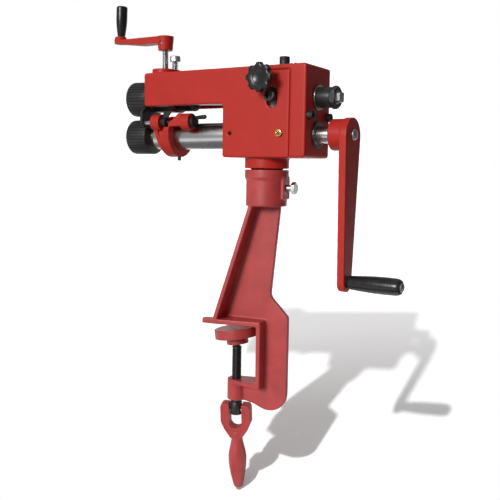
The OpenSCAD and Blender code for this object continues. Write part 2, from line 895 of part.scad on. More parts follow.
module roller_body(x0, x1) {
    difference() {
        union() {
            cone_x(x0, x0 + roller_edge, roller_d / 2 - roller_edge, roller_d / 2);
            rod_x(x0 + roller_edge, x1 - roller_edge, roller_d / 2);
            cone_x(x1 - roller_edge, x1, roller_d / 2, roller_d / 2 - roller_edge);
        }
        for (i = [0:roller_grooves - 1]) rotate([i * 360 / roller_grooves, 0, 0])
            translate([0, 0, roller_d / 2 - groove_h])
                box(x0 - cut, x1 + cut, groove_w / 2, 0, groove_h + cut);
        rod_x(x0 - cut, x1 + cut, shaft_r + fit);
    }
}

module shaft_screw(x0) {
    rod_x(x0 - cut, x0 + screw_in, screw_d / 2);
    difference() {
        rod_x(x0 - screw_head_h, x0, screw_head_r);
        rotate([0, -90, 0]) hex_z(screw_head_h - x0 - screw_socket_deep, screw_head_h - x0 + cut,
            socket_flats);
    }
}

// Lower line, turning parts
journal_len = 23.3;
journal_x1 = end_x + cover_bush_t + journal_len;
crank_x0 = journal_x1;
crank_hub_len = 21.2;
crank_arm_t = 11.5;
crank_x1 = crank_x0 + crank_hub_len + crank_arm_t;
crank_shaft_in = 24;
crank_hub_r = 23.5;
crank_top_r = 27.5;
crank_top_drop = 2.5;
crank_foot_r = 15;
crank_bolt_d = 10;
crank_bolt_in = 20;
crank_bolt_head = 8.5;
crank_bolt_t = 5;
spindle_d = 10;
spindle_end = 7.5;

module lower_shaft() {
    shaft_x1 = crank_x0 + crank_shaft_in;
    color(steel) on_lower_axis() difference() {
        union() {
            rod_x(roller_x0 + fit, gear_x1 + cut, shaft_r);
            rod_x(gear_x1 + fit, journal_x1, journal_d / 2);
            rod_x(journal_x1 - cut, shaft_x1, shaft_r);
        }
        rod_x(roller_x0 - cut, roller_x0 + screw_in + gap, screw_d / 2 + fit);
        rod_x(shaft_x1 - crank_bolt_in, shaft_x1 + cut, crank_bolt_d / 2 + fit);
        key_seat(gear_x0, gear_x1 - gap);
    }
}

module lower_roller() {
    color(black) on_lower_axis() roller_body(roller_x0, roller_x1);
}

module lower_roller_screw() {
    color(black) on_lower_axis() shaft_screw(roller_x0);
}

module lower_gear() {
    color(steel) on_lower_axis() gear_body(gear_x0, gear_x1);
}

module lower_gear_key() {
    color(steel) on_lower_axis() key_bar(gear_x0, gear_x1 - gap);
}

module on_crank() {
    on_lower_axis() rotate([-crank_turn, 0, 0]) children();
}

module crank_arm() {
    color(red) on_crank() difference() {
        union() {
            end_plate(crank_x0 + crank_hub_len, crank_arm_t) translate([0, -crank_top_drop])
                link_outline(crank_top_r, crank_foot_r, crank_reach - crank_top_drop);
            rod_x(crank_x0, crank_x1 - cut, crank_hub_r);
        }
        rod_x(crank_x0 - cut, crank_x0 + crank_shaft_in + gap, shaft_r + fit);
        rod_x(crank_x0, crank_x1 + cut, crank_bolt_d / 2 + fit);
        translate([0, 0, -crank_reach]) rod_x(crank_x0, crank_x1 + cut, spindle_d / 2 + fit);
    }
}

module dome_x(x0, r, h) {
    rod_x(x0, x0 + h / 2, r);
    translate([x0 + h / 2 - fit, 0, 0]) rotate([0, 90, 0]) rotate_extrude() polygon(concat(
        [[0, 0]],
        [for (i = [0:8]) let (a = 90 * i / 8) [r * cos(a), h / 2 * sin(a)]]
    ));
}

module crank_bolt() {
    color(steel) on_crank() {
        rod_x(crank_x0 + crank_shaft_in - crank_bolt_in + gap, crank_x1 + cut, crank_bolt_d / 2);
        dome_x(crank_x1, crank_bolt_head, crank_bolt_t);
    }
}

grip_gap = 1;
grip_x0 = crank_x1 + grip_gap;
grip_x1 = grip_x0 + grip_len;
grip_neck_r = 10;
grip_recess = 3;
grip_swell = 112;
grip_end_len = 11;
grip_end_r = 9;
spindle_dome = 6;

module crank_grip() {
    n = 14;
    swell_r = grip_d / 2 - grip_neck_r;
    side_len = grip_len - grip_end_len;
    round_r = grip_neck_r + swell_r * sin(grip_swell) - grip_end_r;
    color(black) on_crank() translate([0, 0, -crank_reach]) difference() {
        translate([grip_x0, 0, 0]) rotate([0, 90, 0]) rotate_extrude() polygon(concat(
            [[0, 0], [grip_neck_r, 0]],
            [for (i = [1:n]) let (k = i / n) [grip_neck_r + swell_r * sin(grip_swell * k), side_len * k]],
            [for (i = [1:8]) let (a = 90 * i / 8)
                [grip_end_r + round_r * cos(a), side_len + grip_end_len * sin(a)]],
            [[0, grip_len]]
        ));
        rod_x(grip_x0 - cut, grip_x1 + cut, spindle_d / 2 + fit);
        rod_x(grip_x1 - grip_recess, grip_x1 + cut, spindle_end + gap);
    }
}

module grip_spindle() {
    color(steel) on_crank() translate([0, 0, -crank_reach]) {
        rod_x(crank_x0 + crank_hub_len, grip_x1, spindle_d / 2);
        dome_x(grip_x1 - grip_recess + gap, spindle_end, spindle_dome);
    }
}

// Upper line, tilting parts; x is measured from the pivot along the shaft
sleeve_bore = 29;
sleeve_inset = 1.5;
sleeve_x0 = up_roller_x1 + sleeve_inset;
sleeve_x1 = sleeve_x0 + sleeve_len;
block_half = 11.5;
block_low = 18;
block_high = 29.3;
block_bush_r = 14;
bolt_d = 12;
bolt_in = 12;
bolt_head_r = 9;
bolt_head_t = 10;
bolt_key = 10;
lift_in = 7;
lift_head_d = 17.5;
lift_head_t = 9;
spring_h = 14;
lift_head_z = head_top_z + nose_boss_h + spring_h;
seat_drop = 0.5;
foot_d = 18;
foot_t = 4.5;
seat_slack = 1;

// Height of the sleeve's top under the pressure screw
sleeve_top_z = pivot_z + (pivot_x - press_axis_x) * tan(open_tilt) + sleeve_d / 2 - seat_drop;

module lift_thread(r) {
    in_head() translate([lift_x, 0, 0]) rod_z(sleeve_top_z - lift_in, head_top_z, r);
}

module upper_sleeve() {
    color(steel) difference() {
        on_upper_axis() ring_x(sleeve_x0, sleeve_x1, sleeve_d / 2, sleeve_bore / 2);
        in_head() translate([press_axis_x, 0, 0]) rod_z(sleeve_top_z, head_top_z, foot_d / 2 + seat_slack);
        lift_thread(lift_d / 2 + fit);
    }
}

module upper_front_bush() {
    color(brass) on_upper_axis()
        ring_x(up_roller_x1 + gap, sleeve_x1 - fit, sleeve_bore / 2 - fit, shaft_r + fit);
}

module bearing_block() {
    color(steel) on_upper_axis() difference() {
        box(-block_half, block_half, inner_y - gap, -block_low, block_high);
        rod_x(-block_half - cut, block_half + cut, block_bush_r + fit);
        for (s = [-1, 1]) rod_y(min(s * inner_y, s * (inner_y - bolt_in)), max(s * inner_y,
            s * (inner_y - bolt_in)), bolt_d / 2 + fit);
    }
}

module upper_rear_bush() {
    color(brass) on_upper_axis()
        ring_x(-block_half + fit, block_half - fit, block_bush_r, shaft_r + fit);
}

module pivot_bolts() {
    color(black) on_upper_axis() for (s = [0, 1]) rotate([0, 0, 180 * s]) difference() {
        union() {
            rod_y(-side_y - cut, -inner_y + bolt_in - gap, bolt_d / 2);
            rod_y(-side_y - gap - bolt_head_t, -side_y - gap, bolt_head_r);
        }
        rotate([90, 0, 0]) hex_z(side_y + gap + bolt_head_t - socket_deep, side_y + gap
            + bolt_head_t + cut, bolt_key);
    }
}

module lift_bolt() {
    color(zinc) {
        in_head() translate([lift_x, 0, 0]) {
            rod_z(sleeve_top_z - lift_in + gap, lift_head_z + cut, lift_d / 2);
            rod_z(lift_head_z, lift_head_z + lift_head_t, lift_head_d / 2);
        }
    }
}

// Spring under the lift bolt's head
wire_d = 1.1;
coil_r = 4.6;
curls = 5;
steps = 8;
wire_sides = 6;
coil_h = spring_h - wire_d - 2 * gap;

function wire_at(i) = let (a = i * 360 / steps)
    [coil_r * cos(a), coil_r * sin(a), gap + wire_d / 2 + coil_h * i / (curls * steps)];

// Least gap of the spring to itself, over all pairs of rings half a curl or more apart
spring_gap = min([for (i = [0:curls * steps], j = [i + steps / 2:curls * steps])
    norm(wire_at(i) - wire_at(j))]) - wire_d;
echo(spring_gap = spring_gap);

module lift_spring() {
    n = curls * steps;
    rings = [for (i = [0:n]) let (p = wire_at(i), a = i * 360 / steps) [for (j = [0:wire_sides - 1])
        let (b = j * 360 / wire_sides, o = wire_d / 2 * cos(b)) p + [o * cos(a), o * sin(a), wire_d / 2 * sin(b)]]];
    color(steel) in_head() translate([lift_x, 0, head_top_z + nose_boss_h]) polyhedron(
        points = [for (r = rings) each r],
        faces = concat(
            [[for (j = [0:wire_sides - 1]) j]],
            [for (i = [0:n - 1]) for (j = [0:wire_sides - 1]) let (k = (j + 1) % wire_sides)
                [i * wire_sides + j, (i + 1) * wire_sides + j, (i + 1) * wire_sides + k, i * wire_sides + k]],
            [[for (j = [wire_sides - 1:-1:0]) n * wire_sides + j]]
        ));
}

// Upper line, turning parts
spacer_neck_r = 14;
spacer_r = 15.5;
spacer_len = 21;
washer_r = 19;
washer_t = 2;
washer_off = 0.9;
nut_flats = 30;
nut_t = 9;
square_end = 15;
square_len = 6;
shaft_collar_d = 40;
collar_gap = 0.4;
set_d = 6;
set_sink = 1;
upper_gear_x0 = gear_x0 - pivot_x;
upper_gear_x1 = gear_x1 - pivot_x;
washer_x = up_end_x + washer_off;
spacer_x = washer_x + washer_t + fit;
nut_x = spacer_x + spacer_len;
collar_x0 = sleeve_x1 + collar_gap;

module upper_shaft() {
    color(steel) on_upper_axis() difference() {
        union() {
            rod_x(up_roller_x0 + fit, nut_x + nut_t + cut, shaft_r);
            box(nut_x + nut_t + fit, nut_x + nut_t + square_len, square_end / 2,
                -square_end / 2, square_end / 2);
        }
        rod_x(up_roller_x0 - cut, up_roller_x0 + screw_in + gap, screw_d / 2 + fit);
        key_seat(upper_gear_x0, upper_gear_x1 - gap);
    }
}

module upper_roller() {
    color(black) on_upper_axis() roller_body(up_roller_x0, up_roller_x1);
}

module upper_roller_screw() {
    color(black) on_upper_axis() shaft_screw(up_roller_x0);
}

module upper_gear() {
    color(steel) on_upper_axis() difference() {
        rotate([180 / gear_teeth, 0, 0]) end_plate(upper_gear_x0, gear_w) polygon(gear_pts);
        rod_x(upper_gear_x0 - cut, upper_gear_x1 + cut, shaft_r + fit);
        box(upper_gear_x0 - cut, upper_gear_x1 + cut, key_w / 2 + fit, 0, shaft_r + key_high + fit);
    }
}

module upper_gear_key() {
    color(steel) on_upper_axis() key_bar(upper_gear_x0, upper_gear_x1 - gap);
}

module shaft_collar() {
    color(black) on_upper_axis() difference() {
        ring_x(collar_x0, collar_x0 + collar_len, shaft_collar_d / 2, shaft_r + fit);
        translate([collar_x0 + collar_len / 2, 0, 0]) rod_z(0, shaft_collar_d, set_d / 2 + fit);
    }
}

module collar_screw() {
    color(black) on_upper_axis() translate([collar_x0 + collar_len / 2, 0, 0]) difference() {
        rod_z(shaft_r + 2 * fit, shaft_collar_d / 2 - set_sink, set_d / 2);
        hex_z(shaft_collar_d / 2 - socket_deep, shaft_collar_d / 2, grub_flats);
    }
}

module flange_washer() {
    color(steel) on_upper_axis() ring_x(washer_x, washer_x + washer_t, washer_r, spacer_neck_r + fit);
}

module rear_spacer() {
    color(black) on_upper_axis() difference() {
        union() {
            rod_x(upper_gear_x1 + fit, spacer_x + cut, spacer_neck_r);
            rod_x(spacer_x, nut_x - fit, spacer_r);
        }
        rod_x(upper_gear_x1, nut_x + cut, shaft_r + fit);
    }
}

module shaft_nut() {
    color(black) on_upper_axis() difference() {
        rotate([0, 90, 0]) hex_z(nut_x, nut_x + nut_t, nut_flats);
        rod_x(nut_x - cut, nut_x + nut_t + cut, shaft_r + fit);
    }
}

// Pressure screw and its crank
foot_z0 = sleeve_top_z + gap;
foot_z1 = foot_z0 + foot_t;
foot_tip_d = 7;
tip_in = 3;
screw_tip_z = foot_z1 - tip_in;
hub_low = 41.5;
hub_high = 65;
hub_cap = 6;
crank_hub_z0 = head_top_z + hub_low;
crank_hub_z1 = head_top_z + hub_high;
crank_hub_r0 = 12.1;
crank_hub_r1 = 14.1;
crank_w0 = 22;
crank_w1 = 24;
top_arm_t = 11;
end_lift = 5.7;
end_bend = 45;
end_rise = 6.5;
end_shift = 1.5;
end_r0 = 11.5;
end_r1 = 9.5;
top_grip_z0 = crank_hub_z1 + end_rise + grip_gap;
top_grip_lean = 2;
top_spindle_d = 6;
top_spindle_in = 10;
top_cap_r = 5;
top_cap_t = 2;
top_recess = 3;
top_set_d = 5;
top_grip_r0 = 6.4;
top_grip_r1 = 9.5;
top_swell_len = 30;
top_round = 3;

module on_press() {
    in_head() translate([press_axis_x, 0, 0]) children();
}

module pressure_foot() {
    color(steel) on_press() difference() {
        rod_z(foot_z0, foot_z1, foot_d / 2);
        rod_z(screw_tip_z, foot_z1 + cut, foot_tip_d / 2 + fit);
    }
}

module pressure_screw() {
    color(steel) on_press() {
        rod_z(screw_tip_z + fit, foot_z1 + cut, foot_tip_d / 2);
        rod_z(foot_z1 + fit, crank_hub_z1 - hub_cap, press_d / 2);
    }
}

module on_top_grip() {
    on_press() translate([-top_crank_reach, 0, top_grip_z0]) rotate([0, top_grip_lean, 0]) children();
}

top_arm_pts = [
    [0, crank_hub_z1 - top_arm_t], [0, crank_hub_z1], [-top_crank_reach - crank_w1, crank_hub_z1],
    [-top_crank_reach - crank_w1, crank_hub_z1 - top_arm_t + end_lift],
    [-top_crank_reach, crank_hub_z1 - top_arm_t + end_lift],
    [end_bend - top_crank_reach, crank_hub_z1 - top_arm_t]
];

module top_crank_arm() {
    color(red) difference() {
        on_press() {
            cone_z(crank_hub_z0, crank_hub_z1, crank_hub_r0, crank_hub_r1);
            intersection() {
                side_plate(crank_w0 + crank_w1) polygon(top_arm_pts);
                translate([0, 0, crank_hub_z0]) linear_extrude(crank_hub_z1 - crank_hub_z0 + cut) rotate(-90)
                    link_outline(crank_w0 / 2, crank_w1 / 2, top_crank_reach);
            }
            translate([-top_crank_reach - end_shift, 0, 0])
                cone_z(crank_hub_z1, crank_hub_z1 + end_rise, end_r0, end_r1);
        }
        on_press() {
            rod_z(crank_hub_z0 - cut, crank_hub_z1 - hub_cap + gap, press_d / 2 + fit);
            translate([0, 0, (crank_hub_z0 + crank_hub_z1) / 2])
                rod_y(-2 * crank_hub_r1, -press_d / 2 - fit, top_set_d / 2 + fit);
        }
        on_top_grip() rod_z(-top_spindle_in - gap, grip_gap, top_spindle_d / 2 + fit);
    }
}

module top_crank_screw() {
    color(steel) on_press() translate([0, 0, (crank_hub_z0 + crank_hub_z1) / 2])
        rod_y(-crank_hub_r0 + set_sink, -press_d / 2 - fit, top_set_d / 2);
}

module top_crank_grip() {
    n = 10;
    m = 5;
    color(black) on_top_grip() difference() {
        rotate_extrude() polygon(concat(
            [[0, 0]],
            [for (i = [0:n]) [top_grip_r0 + (top_grip_r1 - top_grip_r0) * sin(90 * i / n), top_swell_len * i / n]],
            [for (i = [0:m]) let (a = 90 * i / m)
                [top_grip_r1 - top_round + top_round * cos(a), top_grip_len - top_round + top_round * sin(a)]],
            [[0, top_grip_len]]
        ));
        rod_z(-cut, top_grip_len + cut, top_spindle_d / 2 + fit);
        rod_z(top_grip_len - top_recess, top_grip_len + cut, top_cap_r + gap);
    }
}

module top_grip_spindle() {
    cap_z = top_grip_len - top_recess + gap;
    color(steel) on_top_grip() {
        rod_z(-top_spindle_in, cap_z + cut, top_spindle_d / 2);
        rod_z(cap_z, cap_z + top_cap_t, top_cap_r);
    }
}

// Edge guide on the lower tube
ring_x0 = nose_x + guide_x - ring_w / 2;
ring_x1 = ring_x0 + ring_w;
ring_r = tube_d / 2 + ring_wall;
rod_off = tube_d / 2 + rod_out;
rod_z_pos = lower_z + tube_d / 2 + rod_rise;
boss1_in = 15;
boss2_in = 75;
guide_boss_len = 17;
guide_boss_r = 13.5;
boss1_x0 = nose_x + boss1_in;
boss1_x1 = boss1_x0 + guide_boss_len;
boss2_x0 = nose_x + boss2_in;
boss2_x1 = boss2_x0 + guide_boss_len;
counter_deep = 5.5;
rod_travel = 4.5;

// Web of the guide, a V between the two bosses and the ring
web_y0 = 38;
web_y1 = 24;
web_toe_rise = 5;
web_toe_z = lower_z - ring_r + web_toe_rise;
web_swell = 10.5;
web_back = 7.4;
web_toe_in = 2.5;
web_bend_up = 2.6;
knee_out = 1.5;
knee_drop = 7.5;
arm_low = 5.5;
arm_crest = 12;
crest_in = 7;
crest_up = 14.5;
slope_x = 16;
slope_up = 7.5;
crotch_in = 17.5;
crotch_drop = 25.5;
crotch_side = 3.5;
crotch_up = 5;
fork_in = 8;
fork_drop = 6.5;
fork_out = 10;
fork_low = 8.5;

guide_web_pts = [
    [boss1_x0, rod_z_pos], [ring_x0, web_toe_z], [ring_x1 - web_toe_in, web_toe_z],
    [ring_x1, lower_z + web_bend_up], [ring_x1 + knee_out, rod_z_pos - knee_drop],
    [boss2_x0, rod_z_pos - arm_low], [boss2_x0 + cut, rod_z_pos + arm_crest],
    [boss2_x0 - crest_in, rod_z_pos + crest_up], [boss2_x0 - slope_x, rod_z_pos + slope_up],
    [ring_x1 - fork_out, rod_z_pos - fork_low],
    [ring_x1 - crotch_in + crotch_side, rod_z_pos - crotch_drop + crotch_up],
    [ring_x1 - crotch_in, rod_z_pos - crotch_drop],
    [ring_x1 - crotch_in - crotch_side, rod_z_pos - crotch_drop + crotch_up],
    [boss1_x1 - fork_in, rod_z_pos - fork_drop], [boss1_x1 - fork_in, rod_z_pos]
];

// Fence plate in front of the nose, over the tube
fence_t = 5;
fence_out = 9;
fence_x0 = nose_x - fence_out;
fence_y1 = 2;
fence_z1 = 57;
fence_z0 = 88;
fence_leg = 24;
fence_over = 1.6;
fence_edge = 42;
fence_step = 10.5;
fence_flat = 16;
fence_slope = 24;
fence_cut = 6;
nut_r = 4.6;
nut_len = 18.5;
fence_pts = [
    [fence_cut - fence_edge, head_top_z - fence_z0], [-fence_leg, head_top_z - fence_z0],
    [-fence_leg, lower_z + tube_d / 2 + fence_over], [fence_y1, lower_z + tube_d / 2 + fence_over],
    [fence_y1, head_top_z - fence_z1 - fence_step],
    [fence_y1 - fence_flat, head_top_z - fence_z1 - fence_step],
    [fence_y1 - fence_slope, head_top_z - fence_z1], [fence_cut - fence_edge, head_top_z - fence_z1],
    [-fence_edge, head_top_z - fence_z1 - fence_cut], [-fence_edge, head_top_z - fence_z0 + fence_cut]
];

// Stop collar with its thumb wing
stop_len = 9;
stop_r = 7.8;
stop_clear = 1;
stop_x0 = boss1_x1 + gap;
wing_t = 3;
wing_in = 2;
wing_base = 7;
wing_top = 16;
wing_h = 17.8;
wing_foot = 6;

// Lever knob on the rod's end
lever_x0 = boss2_x1 + gap;
lever_len = 5.7;
lever_r = 9.5;
lever_floor = 1.5;
rod_x1 = lever_x0 + lever_len - lever_floor - gap;
lever_up = 6;
lever_lean = 87;
lever_reach = 24.5;
lever_r0 = 2.7;
lever_r1 = 3.6;

under_screw_d = 6;
under_screw_out = 6;
under_share = 0.8;
under_x = ring_x0 + ring_w * under_share;
under_z = lower_z - ring_r;

module on_rod() {
    in_head() translate([0, -rod_off, rod_z_pos]) children();
}

module guide_bracket() {
    color(red) difference() {
        union() {
            on_lower_axis() rod_x(ring_x0, ring_x1, ring_r);
            on_rod() {
                rod_x(boss1_x0, boss1_x1, guide_boss_r);
                rod_x(boss2_x0, boss2_x1, guide_boss_r);
            }
            intersection() {
                in_head() translate([0, -(web_y0 + web_y1) / 2, 0]) side_plate(web_y0 - web_y1)
                    polygon(guide_web_pts);
                union() {
                    in_head() box(boss1_x0 - cut, boss2_x1, web_y0 + cut, lower_z + web_back, head_top_z);
                    on_lower_axis() translate([0, web_back, web_back])
                        rod_x(boss1_x0 - cut, boss2_x1, ring_r + web_swell);
                }
            }
        }
        on_lower_axis() rod_x(fence_x0, boss2_x1, tube_d / 2 + fit);
        on_rod() {
            rod_x(boss1_x0 - cut, boss2_x1 + cut, rod_d / 2 + fit);
            rod_x(boss1_x0 - cut, boss1_x0 + counter_deep, nut_r + gap);
            rod_x(boss1_x1, stop_x0 + stop_len + rod_travel + gap, stop_r + stop_clear);
        }
        in_head() translate([under_x, 0, under_z])
            rod_z(-under_screw_out, ring_wall + cut, under_screw_d / 2 + fit);
    }
}

module bracket_set_screw() {
    color(black) in_head() translate([under_x, 0, under_z])
        rod_z(-under_screw_out, ring_wall - gap, under_screw_d / 2);
}

module guide_rod() {
    color(black) on_rod() rod_x(fence_x0 + fence_t - gap, rod_x1, rod_d / 2);
}

module fence_plate() {
    color(black) difference() {
        in_head() end_plate(fence_x0, fence_t) polygon(fence_pts);
        on_rod() rod_x(fence_x0 + fence_t - gap, fence_x0 + 2 * fence_t, rod_d / 2);
    }
}

module fence_nut() {
    color(steel) on_rod() ring_x(fence_x0 + fence_t, fence_x0 + fence_t + nut_len, nut_r, rod_d / 2 + fit);
}

module stop_collar() {
    color(black) on_rod() {
        ring_x(stop_x0, stop_x0 + stop_len, stop_r, rod_d / 2 + fit);
        translate([stop_x0 + wing_in, 0, 0]) side_plate(wing_t) polygon([
            [0, wing_foot], [wing_base, wing_foot], [wing_top, wing_h], [0, wing_h]
        ]);
    }
}

module guide_lever() {
    n = 6;
    color(black) on_rod() difference() {
        union() {
            rod_x(lever_x0, lever_x0 + lever_len, lever_r);
            translate([lever_x0 + lever_len / 2, 0, lever_up]) rotate([0, lever_lean, 0])
                rotate_extrude() polygon(concat(
                    [[0, 0], [lever_r0, 0]],
                    [for (i = [0:n]) let (a = 90 * i / n)
                        [lever_r1 * cos(a), lever_reach - lever_r1 + lever_r1 * sin(a)]]
                ));
        }
        rod_x(lever_x0 - cut, lever_x0 + lever_len - lever_floor, rod_d / 2 + fit);
    }
}

clamp_frame();
swivel_lock_screw();
clamp_screw();
swivel_ball();
clamp_pad();
pad_snap_ring();
clamp_handle();
handle_pin();
head_housing();
rear_cover();
cover_bolts();
tongue_bolt();
oil_plug();
lower_tube();
tube_lock_screw();
lower_front_bush();
lower_cover_bush();
pivot_bolts();
grease_nipple();
star_knob();
knob_stud();
lower_shaft();
lower_roller();
lower_gear();
lower_gear_key();
lower_roller_screw();
crank_arm();
crank_bolt();
crank_grip();
grip_spindle();
upper_sleeve();
upper_front_bush();
bearing_block();
upper_rear_bush();
upper_shaft();
upper_roller();
upper_gear();
upper_gear_key();
upper_roller_screw();
shaft_collar();
collar_screw();
flange_washer();
rear_spacer();
shaft_nut();
pressure_screw();
pressure_foot();
top_crank_arm();
top_crank_screw();
top_crank_grip();
top_grip_spindle();
lift_bolt();
lift_spring();
guide_bracket();
guide_rod();
fence_plate();
fence_nut();
stop_collar();
guide_lever();
bracket_set_screw();
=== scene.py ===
import json
import math

import bmesh
import bpy
from mathutils import Matrix, Vector

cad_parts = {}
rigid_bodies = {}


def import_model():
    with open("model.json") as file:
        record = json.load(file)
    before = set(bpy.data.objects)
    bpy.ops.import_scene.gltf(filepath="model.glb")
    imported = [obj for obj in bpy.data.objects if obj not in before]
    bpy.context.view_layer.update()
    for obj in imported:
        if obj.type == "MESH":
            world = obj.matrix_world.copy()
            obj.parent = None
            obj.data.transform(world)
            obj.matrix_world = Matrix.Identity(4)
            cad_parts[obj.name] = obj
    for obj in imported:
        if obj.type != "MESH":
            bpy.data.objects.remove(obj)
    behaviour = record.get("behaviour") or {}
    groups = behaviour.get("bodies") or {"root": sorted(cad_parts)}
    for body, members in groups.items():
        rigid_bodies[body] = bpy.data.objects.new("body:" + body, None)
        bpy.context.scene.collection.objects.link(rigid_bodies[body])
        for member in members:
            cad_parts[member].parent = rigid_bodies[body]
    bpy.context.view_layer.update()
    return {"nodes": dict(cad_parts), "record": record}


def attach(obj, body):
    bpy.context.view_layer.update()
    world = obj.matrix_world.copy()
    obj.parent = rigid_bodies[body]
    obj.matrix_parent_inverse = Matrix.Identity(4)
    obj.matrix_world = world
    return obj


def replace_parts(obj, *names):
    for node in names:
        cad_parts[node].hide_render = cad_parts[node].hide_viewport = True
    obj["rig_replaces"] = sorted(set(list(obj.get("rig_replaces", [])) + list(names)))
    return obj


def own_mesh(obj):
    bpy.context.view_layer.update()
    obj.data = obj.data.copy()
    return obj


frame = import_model()
NODES = frame["nodes"]
BODY = {n: b for b, ns in frame["record"]["behaviour"]["bodies"].items() for n in ns}
SLOT = {s["node"]: s["material_slot"] for s in frame["record"]["subparts"]}
scene = bpy.context.scene

# ---------------------------------------------------------------- places, in mm from the swivel's axis
MM = 0.001
TURN = math.radians(6)
SWIVEL_X = 48.6
SWIVEL = Vector((SWIVEL_X * math.cos(TURN), SWIVEL_X * math.sin(TURN), 0))
TOP, LOWER_Z, FRONT_Y = 405.0, 302.4, -42.0
PIVOT_X, PIVOT_Z = 30.0, 359.5
TILT = math.radians(1.466)
PRESS_X, LIFT_X = -201.3, -180.7
BOSS_TOP = 413.0
UP_X0, UP_X1 = -295.5, -253.5
LO_X0, LO_X1 = -265.5, -223.5


def head(x, y, z):
    return Matrix.Translation((SWIVEL + Vector((x, y, z))) * MM)


def foot(x, y, z):
    return Matrix.Rotation(TURN, 4, "Z") @ Matrix.Translation(Vector((x, y, z)) * MM)


def upper(x, y=0, z=0):
    tilted = head(PIVOT_X, 0, PIVOT_Z) @ Matrix.Rotation(TILT, 4, "Y")
    return tilted @ Matrix.Translation(Vector((x, y, z)) * MM)


def lower(x, y=0, z=0):
    return head(x, y, LOWER_Z + z)


ALONG_X = Matrix.Rotation(math.radians(90), 4, "Y")
TO_FRONT = Matrix.Rotation(math.radians(90), 4, "X")


# ---------------------------------------------------------------- materials
def node_tree(name):
    m = bpy.data.materials.new(name)
    m.use_nodes = True
    nt = m.node_tree
    nt.nodes.clear()
    out = nt.nodes.new("ShaderNodeOutputMaterial")
    b = nt.nodes.new("ShaderNodeBsdfPrincipled")
    nt.links.new(b.outputs[0], out.inputs[0])
    return m, nt, b


def noise(nt, scale, detail=3.0, rough=0.55, stretch=None):
    tc = nt.nodes.new("ShaderNodeTexCoord")
    mp = nt.nodes.new("ShaderNodeMapping")
    nt.links.new(tc.outputs["Object"], mp.inputs["Vector"])
    if stretch:
        mp.inputs["Scale"].default_value = stretch
    n = nt.nodes.new("ShaderNodeTexNoise")
    n.inputs["Scale"].default_value = scale
    n.inputs["Detail"].default_value = detail
    n.inputs["Roughness"].default_value = rough
    nt.links.new(mp.outputs[0], n.inputs["Vector"])
    return n.outputs["Fac"]


def ramp(nt, fac, stops):
    r = nt.nodes.new("ShaderNodeValToRGB")
    els = r.color_ramp.elements
    while len(els) < len(stops):
        els.new(0.5)
    for e, (p, c) in zip(els, stops):
        e.position = p
        e.color = (*c, 1) if isinstance(c, (tuple, list)) else (c, c, c, 1)
    nt.links.new(fac, r.inputs[0])
    return r.outputs[0]


def bump(nt, b, fac, strength, distance, before=None):
    n = nt.nodes.new("ShaderNodeBump")
    n.inputs["Strength"].default_value = strength
    n.inputs["Distance"].default_value = distance
    nt.links.new(fac, n.inputs["Height"])
    if before:
        nt.links.new(before, n.inputs["Normal"])
    nt.links.new(n.outputs[0], b.inputs["Normal"])
    return n.outputs[0]


def red_paint(name, base, dark, grain, depth, rough_lo, rough_hi, coat, gloss):
    m, nt, b = node_tree(name)
    col = ramp(nt, noise(nt, 26, 5), [(0.3, dark), (0.7, base)])
    nt.links.new(col, b.inputs["Base Color"])
    nt.links.new(ramp(nt, noise(nt, 60, 4), [(0.3, rough_lo), (0.7, rough_hi)]), b.inputs["Roughness"])
    n1 = bump(nt, b, noise(nt, grain, 4, 0.6), 0.5, depth)
    bump(nt, b, noise(nt, grain * 3.1, 2), 0.35, depth * 0.4, n1)
    b.inputs["Coat Weight"].default_value = coat
    b.inputs["Coat Roughness"].default_value = 0.28
    b.inputs["Specular IOR Level"].default_value = gloss
    return m


def metal(name, base, dark, rough_lo, rough_hi, stretch=None, depth=0.00002, grain=500):
    m, nt, b = node_tree(name)
    b.inputs["Metallic"].default_value = 1
    nt.links.new(ramp(nt, noise(nt, 45, 4), [(0.25, dark), (0.75, base)]), b.inputs["Base Color"])
    fine = noise(nt, grain, 3, 0.6, stretch)
    nt.links.new(ramp(nt, fine, [(0.2, rough_lo), (0.8, rough_hi)]), b.inputs["Roughness"])
    bump(nt, b, fine, 0.3, depth)
    return m


def dark_part(name, base, rough_lo, rough_hi, grain, depth, metallic=0.0):
    m, nt, b = node_tree(name)
    b.inputs["Metallic"].default_value = metallic
    dark = tuple(c * 0.7 for c in base)
    nt.links.new(ramp(nt, noise(nt, 50, 4), [(0.3, dark), (0.7, base)]), b.inputs["Base Color"])
    nt.links.new(ramp(nt, noise(nt, 120, 3), [(0.3, rough_lo), (0.7, rough_hi)]), b.inputs["Roughness"])
    bump(nt, b, noise(nt, grain, 3), 0.3, depth)
    return m


